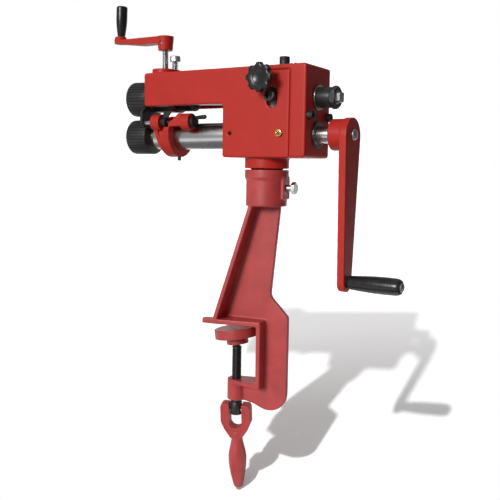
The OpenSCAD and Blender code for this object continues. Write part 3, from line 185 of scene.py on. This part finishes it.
FINE_TURNED = (40, 1, 1)
MAT = {
    "red_smooth": red_paint("red_smooth", (0.47, 0.022, 0.015), (0.43, 0.019, 0.012), 420, 0.00007,
                            0.4, 0.5, 0.03, 0.26),
    "red_cast": red_paint("red_cast", (0.48, 0.050, 0.048), (0.36, 0.030, 0.030), 420, 0.0004,
                          0.4, 0.56, 0.1, 0.5),
    "black_oxide": dark_part("black_oxide", (0.016, 0.016, 0.017), 0.34, 0.5, 600, 0.00002, 0.0),
    "black_plastic": dark_part("black_plastic", (0.014, 0.014, 0.015), 0.22, 0.34, 500, 0.000015),
    "zinc": metal("zinc", (0.66, 0.67, 0.70), (0.56, 0.57, 0.59), 0.24, 0.4),
    "bright_steel": metal("bright_steel", (0.62, 0.61, 0.60), (0.52, 0.51, 0.50), 0.22, 0.36),
    "bronze": metal("bronze", (0.80, 0.60, 0.30), (0.68, 0.48, 0.22), 0.24, 0.36),
    "brass": metal("brass", (0.86, 0.66, 0.30), (0.76, 0.54, 0.22), 0.2, 0.32),
    # darker zinc; on the upper shaft it is painted shade that stands for the arm's shade over the shaft
    "dark_zinc_and_painted_shade": metal("dark_zinc_and_painted_shade", (0.50, 0.50, 0.52), (0.36, 0.36, 0.38), 0.26, 0.42),
    "shaft_steel": metal("shaft_steel", (0.62, 0.62, 0.62), (0.53, 0.53, 0.53), 0.18, 0.3, FINE_TURNED,
                         0.00001, 200),
    "tube_steel": metal("tube_steel", (0.62, 0.62, 0.62), (0.53, 0.53, 0.53), 0.2, 0.3, FINE_TURNED,
                        0.00001, 200),
    "black_steel": dark_part("black_steel", (0.017, 0.017, 0.018), 0.36, 0.5, 700, 0.00002, 0.0),
    "dim_steel": metal("dim_steel", (0.20, 0.20, 0.20), (0.14, 0.14, 0.14), 0.25, 0.4),
}


# ---------------------------------------------------------------- pieces from the CAD meshes
def keep(ob, nodes, mat):
    """Gives the piece its material, body and slot, and lets it stand for the CAD nodes."""
    nodes = [nodes] if isinstance(nodes, str) else list(nodes)
    ob.data.materials.clear()
    ob.data.materials.append(MAT[mat])
    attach(ob, BODY[nodes[0]])
    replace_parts(ob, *nodes)
    return ob


def link(name, mesh):
    ob = bpy.data.objects.new(name, mesh)
    scene.collection.objects.link(ob)
    return ob


def clean(node, flat=1.0):
    """The node's mesh welded, with its flat faces merged again."""
    bm = bmesh.new()
    bm.from_mesh(NODES[node].data)
    bmesh.ops.remove_doubles(bm, verts=bm.verts, dist=2e-6)
    bmesh.ops.dissolve_limit(bm, angle_limit=math.radians(flat), verts=bm.verts, edges=bm.edges)
    bm.verts.ensure_lookup_table()
    verts = [v.co[:] for v in bm.verts]
    faces = [[v.index for v in f.verts] for f in bm.faces]
    bm.free()
    me = bpy.data.meshes.new(node + "_mesh")
    me.from_pydata(verts, [], faces)
    me.update()
    return me


def smooth(me, angle=35):
    me.polygons.foreach_set("use_smooth", [True] * len(me.polygons))
    me.set_sharp_from_angle(angle=math.radians(angle))


def machined(node, mat, width=0.4, segments=2, angle=35):
    me = clean(node)
    ob = link(node + "_look", me)
    smooth(me, angle)
    b = ob.modifiers.new("edge", "BEVEL")
    b.width = width * MM
    b.segments = segments
    b.limit_method = "ANGLE"
    b.angle_limit = math.radians(angle)
    b.harden_normals = True
    b.use_clamp_overlap = True
    return keep(ob, node, mat)


def cast(node, mat, voxel=1.0, rounds=4):
    me = clean(node)
    ob = link(node + "_look", me)
    r = ob.modifiers.new("skin", "REMESH")
    r.mode = "VOXEL"
    r.voxel_size = voxel * MM
    r.use_smooth_shade = True
    s = ob.modifiers.new("soft", "SMOOTH")
    s.factor = 0.5
    s.iterations = rounds
    return keep(ob, node, mat)


# ---------------------------------------------------------------- pieces built from rings
def hex_r(flats):
    return lambda a: flats / 2 / math.cos((a % (math.pi / 3)) - math.pi / 6)


def least(f, r):
    return lambda a: min(f(a), r)


def skin(name, rings, matrix, segs=72, closed=False, sharp=32):
    """A solid through rings of (radius, height); a radius is a number or a function of the angle."""
    verts, faces, rows = [], [], []
    for r, z in rings:
        if not callable(r) and r <= 0:
            rows.append([len(verts)])
            verts.append((0, 0, z * MM))
            continue
        row = []
        for i in range(segs):
            a = 2 * math.pi * i / segs
            q = r(a) if callable(r) else r
            row.append(len(verts))
            verts.append((q * math.cos(a) * MM, q * math.sin(a) * MM, z * MM))
        rows.append(row)
    pairs = list(zip(rows, rows[1:])) + ([(rows[-1], rows[0])] if closed else [])
    for p, q in pairs:
        for i in range(segs):
            j = (i + 1) % segs
            if len(p) == 1 and len(q) == 1:
                break
            if len(p) == 1:
                faces.append((p[0], q[j], q[i]))
            elif len(q) == 1:
                faces.append((p[i], p[j], q[0]))
            else:
                faces.append((p[i], p[j], q[j], q[i]))
    me = bpy.data.meshes.new(name)
    me.from_pydata(verts, [], faces)
    bm = bmesh.new()
    bm.from_mesh(me)
    bmesh.ops.recalc_face_normals(bm, faces=bm.faces)
    bm.to_mesh(me)
    bm.free()
    me.transform(matrix)
    smooth(me, sharp)
    return link(name, me)


def eased(profile, r=0.5, n=3, closed=False):
    """The profile with each corner of numbers cut by a small round of about r."""
    out, k = [], len(profile)
    for i, (pr, pz) in enumerate(profile):
        ends = not closed and i in (0, k - 1)
        a, b = profile[i - 1], profile[(i + 1) % k]
        if ends or callable(pr) or callable(a[0]) or callable(b[0]) or pr <= 0:
            out.append((pr, pz))
            continue
        p, u, v = Vector((pr, pz)), Vector(a) - Vector((pr, pz)), Vector(b) - Vector((pr, pz))
        if u.length < 1e-6 or v.length < 1e-6 or abs(u.normalized().dot(v.normalized())) > 0.97:
            out.append((pr, pz))
            continue
        s = min(r, 0.45 * u.length, 0.45 * v.length)
        p0, p1 = p + u.normalized() * s, p + v.normalized() * s
        for t in [j / n for j in range(n + 1)]:
            q = p0 * (1 - t) ** 2 + p * 2 * t * (1 - t) + p1 * t * t
            out.append((q.x, q.y))
    return out


def turned(name, node, mat, matrix, profile, r=0.5, segs=72, closed=False):
    return keep(skin(name, eased(profile, r, 3, closed), matrix, segs, closed), node, mat)


def threaded(name, matrix, r, pitch, z0, z1, depth, segs=40, per=8, starts=None):
    """A screw's helical flank between z0 and z1, with plain ends from starts: (rings before, rings after)."""
    before, after = starts or ([(0, z0)], [(0, z1)])
    n = max(2, int(round((z1 - z0) / pitch * per)))
    rings = list(before)
    for i in range(n + 1):
        z = z0 + (z1 - z0) * i / n
        fade = min(1, (z - z0) / pitch, (z1 - z) / pitch)

        def at(a, z=z, fade=fade):
            t = (z / pitch - a / (2 * math.pi)) % 1
            return r - depth * fade * (1 - abs(2 * t - 1)) ** 0.8

        rings.append((at, z))
    rings += after
    return skin(name, rings, matrix, segs, False, 60)


def join(name, obs):
    bpy.context.view_layer.update()
    bm = bmesh.new()
    for o in obs:
        bm.from_mesh(o.data)
    me = bpy.data.meshes.new(name)
    bm.to_mesh(me)
    bm.free()
    for o in obs:
        bpy.data.objects.remove(o)
    smooth(me, 32)
    return link(name, me)


def socket_cap(x0, x1, head_r, flats, deep=4.5, chamfer=0.7, knurl=0.0):
    """Rings of a socket head, from the middle of its seat at x0 over its top at x1 into the socket."""
    hx = hex_r(flats)
    out = [(0, x0), (head_r - 0.3, x0), (head_r, x0 + 0.3)]
    if knurl:
        k = lambda a: head_r - knurl * (0.5 - 0.5 * math.cos(36 * a))
        out += [(k, x0 + 0.8), (k, x1 - 1.2 - chamfer)]
    out += [(head_r, x1 - 1 - chamfer), (head_r, x1 - chamfer), (head_r - chamfer * 0.3, x1 - chamfer * 0.3)]
    out += [(head_r - chamfer, x1), (flats / 2 / math.cos(math.pi / 6) + 0.5, x1)]
    out += [(lambda a: hx(a) + 0.3, x1), (hx, x1 - 0.35), (hx, x1 - deep), (0, x1 - deep - flats * 0.18)]
    return out


def hex_block(z0, z1, flats, chamfer=1.0):
    """Rings of a hexagon with turned-down corners, closed at both ends."""
    hx, inner = hex_r(flats), flats / 2
    rise = inner / math.cos(math.pi / 6) - inner
    steps = [0, 0.25, 0.5, 0.75, 1]
    low = [(least(hx, inner + rise * s), z0 + chamfer * s * s) for s in steps]
    high = [(least(hx, inner + rise * s), z1 - chamfer * s * s) for s in reversed(steps)]
    return low + high


def roller(name, node, matrix, x0, x1):
    grooves, depth, outer, edge, bore = 36, 1.2, 29.2, 2.2, 10.05
    face = outer - edge

    def rim(r):
        def f(a):
            t = (a * grooves / (2 * math.pi)) % 1
            d = min(t, 1 - t)
            return r - depth * max(0.0, min(1.0, (0.2 - d) / 0.07))
        return f

    turn = [s * math.pi / 2 for s in (0.25, 0.5, 0.75, 1.0)]
    rings = [(bore, x0 + 0.4), (10.6, x0), (face - 0.8, x0), (face, x0 + 0.25)]
    rings += [(rim(face + edge * math.sin(a)), x0 + edge - edge * math.cos(a) + 0.3) for a in turn]
    rings += [(rim(face + edge * math.sin(a)), x1 - edge + edge * math.cos(a) - 0.3) for a in reversed(turn)]
    rings += [(face, x1 - 0.25), (face - 0.8, x1), (10.6, x1), (bore, x1 - 0.4)]
    keep(skin(name, rings, matrix @ ALONG_X, grooves * 10, True, 28), node, "black_steel")


def build_rollers():
    roller("lower_roller_look", "lower_roller", lower(0), LO_X0, LO_X1)
    roller("upper_roller_look", "upper_roller", upper(0), UP_X0, UP_X1)
    rings = [(0, -22), (5, -22), (5, -0.01)] + socket_cap(0, 5, 12, 6, 4)[1:]
    for name, m in (("lower_roller_screw", lower(LO_X0)), ("upper_roller_screw", upper(UP_X0))):
        keep(skin(name + "_look", rings, m @ ALONG_X.inverted(), 72), name, "black_oxide")


def build_lower_line():
    ax = lower(0) @ ALONG_X
    turned("lower_tube_look", "lower_tube", "tube_steel", ax,
           [(17, -212), (21.5, -212), (21.5, -36), (17, -36)], 0.6, 96, True)
    turned("lower_cover_bush_look", "lower_cover_bush", "dim_steel", ax,
           [(13.05, 78.5), (16, 78.5), (16, 86.5), (20, 86.5), (20, 89.5), (13.05, 89.5)], 0.6, 96, True)
    turned("lower_shaft_look", "lower_shaft", "shaft_steel", ax,
           [(0, -265.45), (10, -265.45), (10, 77.5), (13, 77.5), (13, 112.8), (10, 112.8), (10, 136.8),
            (0, 136.8)], 0.5, 96)
    cr = lower(0) @ Matrix.Rotation(math.radians(-1.5), 4, "X")
    turned("crank_bolt_look", "crank_bolt", "dark_zinc_and_painted_shade", cr @ ALONG_X,
           [(0, 117.1), (5, 117.1), (5, 145.5), (8.2, 145.5), (8.5, 146.6), (7.9, 148.4), (6.3, 149.7),
            (4.0, 150.4), (0, 150.6)], 0.3, 72)
    g = cr @ Matrix.Translation((0, 0, -219 * MM)) @ ALONG_X
    prof = [(5.05, 146.5), (9.4, 146.5)]
    n = 24
    for i in range(1, n + 1):
        k = i / n
        prof.append((10 + 3 * math.sin(math.radians(112 * k)), 146.5 + 72 * k))
    for i in range(1, 8):
        a = math.radians(90 * i / 7)
        prof.append((9 + 3.78 * math.cos(a), 218.5 + 11 * math.sin(a)))
    prof += [(7.9, 229.3), (7.8, 226.5), (5.05, 226.5)]
    keep(skin("crank_grip_look", prof, g, 96, True, 40), "crank_grip", "black_plastic")
    turned("grip_spindle_look", "grip_spindle", "dark_zinc_and_painted_shade", g,
           [(0, 134), (5, 134), (5, 226.8), (7.3, 226.8), (7.5, 227.8), (6.9, 230.4), (5.4, 231.9), (3.2, 232.6),
            (0, 232.8)], 0.3, 72)


def build_upper_line():
    ax = upper(0) @ ALONG_X
    turned("shaft_collar_look", "shaft_collar", "black_steel", ax,
           [(10.05, -197.1), (20, -197.1), (20, -169.1), (10.05, -169.1)], 0.8, 96, True)
    turned("flange_washer_look", "flange_washer", "bright_steel", ax,
           [(14.05, 57.4), (19, 57.4), (19, 59.4), (14.05, 59.4)], 0.4, 96, True)
    turned("rear_spacer_look", "rear_spacer", "black_steel", ax,
           [(10.05, 47.6), (14, 47.6), (14, 59.45), (15.5, 59.45), (15.5, 80.4), (10.05, 80.4)], 0.8, 96, True)
    hexa = hex_block(80.45, 89.45, 30, 2.0)
    rings = [(10.05, 80.45)] + hexa + [(11.5, 89.45), (10.05, 88.4)]
    keep(skin("shaft_nut_look", rings, ax, 72, True, 30), "shaft_nut", "black_steel")
    h = 7.5
    sq = lambda a: h / max(abs(math.cos(a)), abs(math.sin(a)))
    rings = [(0, -295.45), (9.6, -295.45), (10, -295), (10, 88.6), (9.2, 89.45), (least(sq, 9.2), 89.5),
             (least(sq, 9.7), 94.6), (least(lambda a: sq(a) - 0.7, 8.8), 95.45), (0, 95.45)]
    # the upper shaft takes the darker zinc as painted shade for the shade under the arm
    keep(skin("upper_shaft_look", rings, ax, 96, False, 30), "upper_shaft", "dark_zinc_and_painted_shade")
    rings = [(0, 20.3), (6, 20.3), (6, 42.3)] + socket_cap(42.3, 52.3, 9, 10, 6, 0.8, 0.25)[1:]
    obs = []
    for k in (0, 1):
        m = upper(0) @ Matrix.Rotation(math.pi * k, 4, "Z") @ TO_FRONT
        obs.append(skin("pivot_bolt_%d" % k, rings, m, 144))
    keep(join("pivot_bolts_look", obs), "pivot_bolts", "black_steel")


def build_head_trim():
    obs = []
    for s in (-1, 1):
        m = head(0, 31.5 * s, TOP - 75) @ ALONG_X
        rings = [(0, 37.8), (4, 37.8), (4, 86.5)] + socket_cap(86.5, 94.5, 6.5, 6, 4.5, 0.6, 0.2)[1:]
        obs.append(skin("cover_bolt_%d" % s, rings, m, 144))
    keep(join("cover_bolts_look", obs), "cover_bolts", "black_steel")
    rings = [(0, -14), (5, -14), (5, 0)] + socket_cap(0, 17, 8, 8, 5, 0.9, 0.2)[1:]
    keep(skin("oil_plug_look", rings, head(28, 0, TOP), 144), "oil_plug", "black_steel")
    rings = [(0, -13), (3, -13), (3, 0)] + socket_cap(0, 6.5, 5.5, 5, 4, 0.5)[1:]
    keep(skin("tongue_bolt_look", rings, head(44.5, 0, TOP), 72), "tongue_bolt", "zinc")
    m = head(43.5, FRONT_Y, LOWER_Z + 1.6) @ TO_FRONT
    rings = [(0, -7), (3, -7), (3, 0)] + hex_block(0, 4, 10, 0.5)
    rings += [(2.9, 4), (2.6, 4.6), (2.1, 7.4), (2.0, 8.1)]
    for i in range(9):
        a = math.radians(-48 + 138 * i / 9)
        rings.append((2.9 * math.cos(a), 8.1 + 2.9 * math.sin(a)))
    rings.append((0, 11))
    keep(skin("grease_nipple_look", rings, m, 72, False, 40), "grease_nipple", "brass")
    m = head(22.5, FRONT_Y, TOP - 21) @ TO_FRONT
    lobes, r_out, notch = 8, 22.0, 6.2
    off = r_out + 3.1

    def star(a):
        a = (a + math.pi / lobes) % (2 * math.pi / lobes) - math.pi / lobes
        a = abs(abs(a) - math.pi / lobes)
        s = off * math.sin(a)
        if s < notch:
            return min(r_out, off * math.cos(a) - math.sqrt(notch ** 2 - s ** 2))
        return r_out

    def star_at(k):
        return lambda a: max(1.0, (star(a) * 0.86 + star(a + 0.05) * 0.07 + star(a - 0.05) * 0.07) - k)

    rings = [(4.05, 6.4), (7.6, 6.0), (8, 6.6), (8, 17), (9.5, 19.2), (11.5, 20), (star_at(1.8), 20.1),
             (star_at(0.6), 20.7), (star_at(0.0), 22.2), (star_at(0.0), 27.0), (star_at(0.5), 28.7),
             (star_at(1.6), 29.7), (star_at(3.0), 30.0), (10.5, 29.9), (9.5, 29.5), (8.5, 28.9), (0, 28.7)]
    keep(skin("star_knob_look", rings, m, 210, False, 50), "star_knob", "black_plastic")
    turned("knob_stud_look", "knob_stud", "zinc", m, [(0, -10), (4, -10), (4, 24.7), (0, 24.7)], 0.4)


def build_pressure():
    p = head(PRESS_X, 0, 0)
    ob = threaded("pressure_screw_look", p, 5, 1.5, 394, 446, 0.42, 40, 8,
                  ([(0, 389.27), (3.5, 389.27), (3.5, 392.22), (4.5, 392.22), (5, 392.9)],
                   [(5, 447), (5, 464), (0, 464.3)]))
    keep(ob, "pressure_screw", "dark_zinc_and_painted_shade")
    g = head(-298.3, 0, 477.5) @ Matrix.Rotation(math.radians(2), 4, "Y")
    prof = [(3.05, 0)] + [(6.4 + 3.1 * math.sin(math.pi * i / 24), 2.5 * i) for i in range(13)] + [(9.5, 48)]
    prof += [(6.5 + 3 * math.cos(math.pi * i / 12), 48 + 3 * math.sin(math.pi * i / 12)) for i in range(1, 7)]
    prof += [(5.4, 51), (5.3, 48), (3.05, 48)]
    keep(skin("top_crank_grip_look", prof, g, 72, True, 40), "top_crank_grip", "black_plastic")
    turned("top_grip_spindle_look", "top_grip_spindle", "zinc", g,
           [(0, -10), (3, -10), (3, 48.3), (4.9, 48.3), (4.6, 49.6), (3, 50.3), (0, 50.3)], 0.3)
    b = head(LIFT_X, 0, 0)
    head_k = lambda a: 8.75 - 0.35 * (0.5 - 0.5 * math.cos(30 * a))
    rings = [(0, 380.72), (3, 380.72), (3, 427), (8.2, 427), (8.75, 427.5), (head_k, 428), (head_k, 434.4),
             (8.6, 435.2), (7.8, 436), (3.6, 436), (3.2, 435.6), (0, 435.6)]
    keep(skin("lift_bolt_look", rings, b, 120, False, 40), "lift_bolt", "zinc")


def build_spring():
    n, curls, r, w, h = 160, 5, 5.0, 0.5, 12.4
    z0 = BOSS_TOP + 0.3 + w
    verts, faces = [], []
    for i in range(n + 1):
        a = 2 * math.pi * curls * i / n
        c = Vector((r * math.cos(a), r * math.sin(a), z0 + h * i / n))
        for j in range(10):
            b = 2 * math.pi * j / 10
            o = w * math.cos(b)
            verts.append((c + Vector((o * math.cos(a), o * math.sin(a), w * math.sin(b)))) * MM)
    for i in range(n):
        for j in range(10):
            k = (j + 1) % 10
            faces.append((i * 10 + j, i * 10 + k, (i + 1) * 10 + k, (i + 1) * 10 + j))
    faces += [tuple(range(9, -1, -1)), tuple(n * 10 + j for j in range(10))]
    me = bpy.data.meshes.new("lift_spring_look")
    me.from_pydata(verts, [], faces)
    me.transform(head(LIFT_X, 0, 0))
    bm = bmesh.new()
    bm.from_mesh(me)
    bmesh.ops.recalc_face_normals(bm, faces=bm.faces)
    bm.to_mesh(me)
    bm.free()
    smooth(me, 60)
    ob = keep(link("lift_spring_look", me), "lift_spring", "dark_zinc_and_painted_shade")
    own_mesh(ob)


def build_clamp():
    ob = threaded("clamp_screw_look", Matrix.Identity(4), 8, 2.0, -133, -42.5, 1.05, 48, 8,
                  ([(0, -156.5), (9.2, -156.5), (9.75, -155.9), (9.75, -135.2), (9.2, -134.5), (8, -134.4)],
                   [(8, -41.4), (7.4, -41), (5, -41), (5, -23.8), (4.7, -23.5), (0, -23.5)]))
    keep(ob, "clamp_screw", "black_steel")
    r = foot(SWIVEL_X, 0, 221) @ ALONG_X
    rings = [(0, 25.3), (3.6, 25.3), (4.9, 26.4), (4.9, 43.5)] + hex_block(43.5, 49.9, 17, 1.1)
    rings += [(6.6, 49.9), (6.2, 49.5), (0, 49.5)]
    keep(skin("swivel_lock_screw_look", rings, r, 72, False, 30), "swivel_lock_screw", "zinc")


# ---------------------------------------------------------------- all pieces
CASTINGS = {
    "clamp_frame": ("red_cast", 1.0, 6),
    "clamp_pad": ("red_cast", 0.8, 5),
    "clamp_handle": ("red_cast", 0.8, 8),
    "head_housing": ("red_smooth", 1.0, 9),
    "rear_cover": ("red_smooth", 1.0, 26),
    "crank_arm": ("red_smooth", 0.8, 8),
    "top_crank_arm": ("red_smooth", 0.6, 4),
    "guide_bracket": ("red_smooth", 0.6, 9),
}
for n, (m, v, k) in CASTINGS.items():
    cast(n, m, v * (1), k)

INNER = {"bearing_block": "dim_steel", "upper_rear_bush": "dim_steel", "upper_sleeve": "dim_steel"}
SLOT_MAT = {
    "red_paint": "red_smooth",
    "black_oxide": "black_oxide",
    "black_plastic": "black_plastic",
    "zinc": "zinc",
    "bright_steel": "bright_steel",
    "bronze": "bronze",
}
for build in (build_rollers, build_lower_line, build_upper_line, build_head_trim, build_pressure, build_spring,
              build_clamp):
    build()
done = {n for o in bpy.data.objects for n in o.get("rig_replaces", [])}
for n in NODES:
    if n not in done:
        machined(n, INNER.get(n, SLOT_MAT[SLOT[n]]))


# ---------------------------------------------------------------- camera
def camera():
    yaw, pitch, roll = (math.radians(a) for a in (30.81, -6.41, 0.85))
    d = Vector((-math.sin(yaw) * math.cos(pitch), math.cos(yaw) * math.cos(pitch), math.sin(pitch)))
    r = d.cross(Vector((0, 0, 1))).normalized()
    u = r.cross(d)
    c, s = math.cos(roll), math.sin(roll)
    r2, u2 = c * r + s * u, c * u - s * r
    cam = bpy.data.cameras.new("camera")
    cam.sensor_width = 36
    cam.lens = 722.1 * cam.sensor_width / 500
    cam.clip_end = 30
    ob = bpy.data.objects.new("camera", cam)
    m = Matrix((r2, u2, -d)).transposed().to_4x4()
    m.translation = Vector((0.61544, -0.99457, 0.25012))
    ob.matrix_world = m
    scene.collection.objects.link(ob)
    scene.camera = ob


camera()


# ---------------------------------------------------------------- light, floor and backdrop
def by_direction(nt, xyz, axis, stops):
    """A grey that depends on one axis of the direction, from -1 to 1."""
    mr = nt.nodes.new("ShaderNodeMapRange")
    mr.inputs["From Min"].default_value = -1
    nt.links.new(xyz.outputs[axis], mr.inputs["Value"])
    return ramp(nt, mr.outputs[0], [((v + 1) / 2, c) for v, c in stops])


def seen_rays(nt):
    """1 for the rays that show the background: from the camera, and in gloss and glass."""
    lp = nt.nodes.new("ShaderNodeLightPath")
    last = lp.outputs["Is Camera Ray"]
    for name in ("Is Glossy Ray", "Is Transmission Ray"):
        mx = nt.nodes.new("ShaderNodeMath")
        mx.operation = "MAXIMUM"
        nt.links.new(last, mx.inputs[0])
        nt.links.new(lp.outputs[name], mx.inputs[1])
        last = mx.outputs[0]
    return last


def mixed(nt, fac, a, b):
    mix = nt.nodes.new("ShaderNodeMixShader")
    for k, o in enumerate((fac, a, b)):
        nt.links.new(o, mix.inputs[k])
    return mix.outputs[0]


def sun(name, toward, strength, angle, floor, only):
    """A distant lamp that lights only the floor, or all but the floor."""
    l = bpy.data.lights.new(name, "SUN")
    l.energy = strength
    l.angle = math.radians(angle)
    ob = bpy.data.objects.new(name, l)
    ob.rotation_euler = Vector(toward).to_track_quat("-Z", "Y").to_euler()
    scene.collection.objects.link(ob)
    c = bpy.data.collections.new(name + "_lights")
    c.objects.link(floor)
    c.collection_objects[0].light_linking.link_state = "INCLUDE" if only else "EXCLUDE"
    ob.light_linking.receiver_collection = c
    return ob


def stage():
    w = bpy.data.worlds.new("world")
    scene.world = w
    w.use_nodes = True
    nt = w.node_tree
    nt.nodes.clear()
    out = nt.nodes.new("ShaderNodeOutputWorld")
    cam = nt.nodes.new("ShaderNodeBackground")
    cam.inputs[0].default_value = (1, 1, 1, 1)
    tc = nt.nodes.new("ShaderNodeTexCoord")
    sep = nt.nodes.new("ShaderNodeSeparateXYZ")
    nt.links.new(tc.outputs["Generated"], sep.inputs[0])
    high = by_direction(nt, sep, "Z", [(-1, 0.15), (-0.62, 0.2), (-0.54, 0.9), (-0.36, 1.0), (-0.25, 0.45),
                                       (-0.1, 0.3), (0.1, 0.26), (0.5, 0.26), (0.8, 0.3), (1, 0.5)])
    side = by_direction(nt, sep, "X", [(-1, 1.0), (0, 0.85), (0.4, 0.42), (1, 0.3)])
    sky = nt.nodes.new("ShaderNodeBackground")
    both = nt.nodes.new("ShaderNodeVectorMath")
    both.operation = "MULTIPLY"
    nt.links.new(high, both.inputs[0])
    nt.links.new(side, both.inputs[1])
    nt.links.new(both.outputs[0], sky.inputs[0])
    sky.inputs[1].default_value = 1.2
    lp = nt.nodes.new("ShaderNodeLightPath")
    nt.links.new(mixed(nt, lp.outputs["Is Camera Ray"], sky.outputs[0], cam.outputs[0]), out.inputs[0])

    # a pale sheet that rises away from the camera, clear from behind
    low, rise_x, rise_y = -0.3115, 0.1978, 0.7858
    spread = [(-0.03, -0.3), (0.47, -0.3), (0.30, 0.45), (0.05, 1.5), (-1.6, 1.5), (-0.03, 0.1)]
    me = bpy.data.meshes.new("floor")
    me.from_pydata([(x, y, low + rise_x * x + rise_y * y) for x, y in spread], [], [range(len(spread))])
    fl = link("floor", me)
    m = bpy.data.materials.new("floor")
    m.use_nodes = True
    nt = m.node_tree
    nt.nodes.clear()
    out = nt.nodes.new("ShaderNodeOutputMaterial")
    geo = nt.nodes.new("ShaderNodeNewGeometry")
    sep = nt.nodes.new("ShaderNodeSeparateXYZ")
    nt.links.new(geo.outputs["Position"], sep.inputs[0])
    # painted light: the floor's colour and emission change with Y, so its shadow is painted lighter farther back
    mr = nt.nodes.new("ShaderNodeMapRange")
    mr.inputs["From Min"].default_value = -0.05
    mr.inputs["From Max"].default_value = 0.55
    nt.links.new(sep.outputs["Y"], mr.inputs["Value"])
    dif = nt.nodes.new("ShaderNodeBsdfDiffuse")
    nt.links.new(ramp(nt, mr.outputs[0], [(0.0, 0.9), (1.0, 0.5)]), dif.inputs[0])
    em = nt.nodes.new("ShaderNodeEmission")
    painted_shadow_lift = ramp(nt, mr.outputs[0], [(0.0, 0.12), (0.33, 0.235), (0.6, 0.55), (1.0, 0.68)])
    nt.links.new(painted_shadow_lift, em.inputs[0])
    seen = nt.nodes.new("ShaderNodeAddShader")
    nt.links.new(dif.outputs[0], seen.inputs[0])
    nt.links.new(em.outputs[0], seen.inputs[1])
    plain = nt.nodes.new("ShaderNodeBsdfDiffuse")
    plain.inputs[0].default_value = (0.6, 0.6, 0.6, 1)
    clear = nt.nodes.new("ShaderNodeBsdfTransparent")
    front = mixed(nt, seen_rays(nt), plain.outputs[0], seen.outputs[0])
    nt.links.new(mixed(nt, geo.outputs["Backfacing"], front, clear.outputs[0]), out.inputs[0])
    me.materials.append(m)
    sun("floor_light", (0.1395, 0.5561, -0.8194), 2.6, 2.5, fl, True)
    sun("key", (0.08, 0.93, -0.33), 2.55, 20, fl, False)


stage()
scene.view_settings.view_transform = "Standard"
scene.view_settings.look = "None"
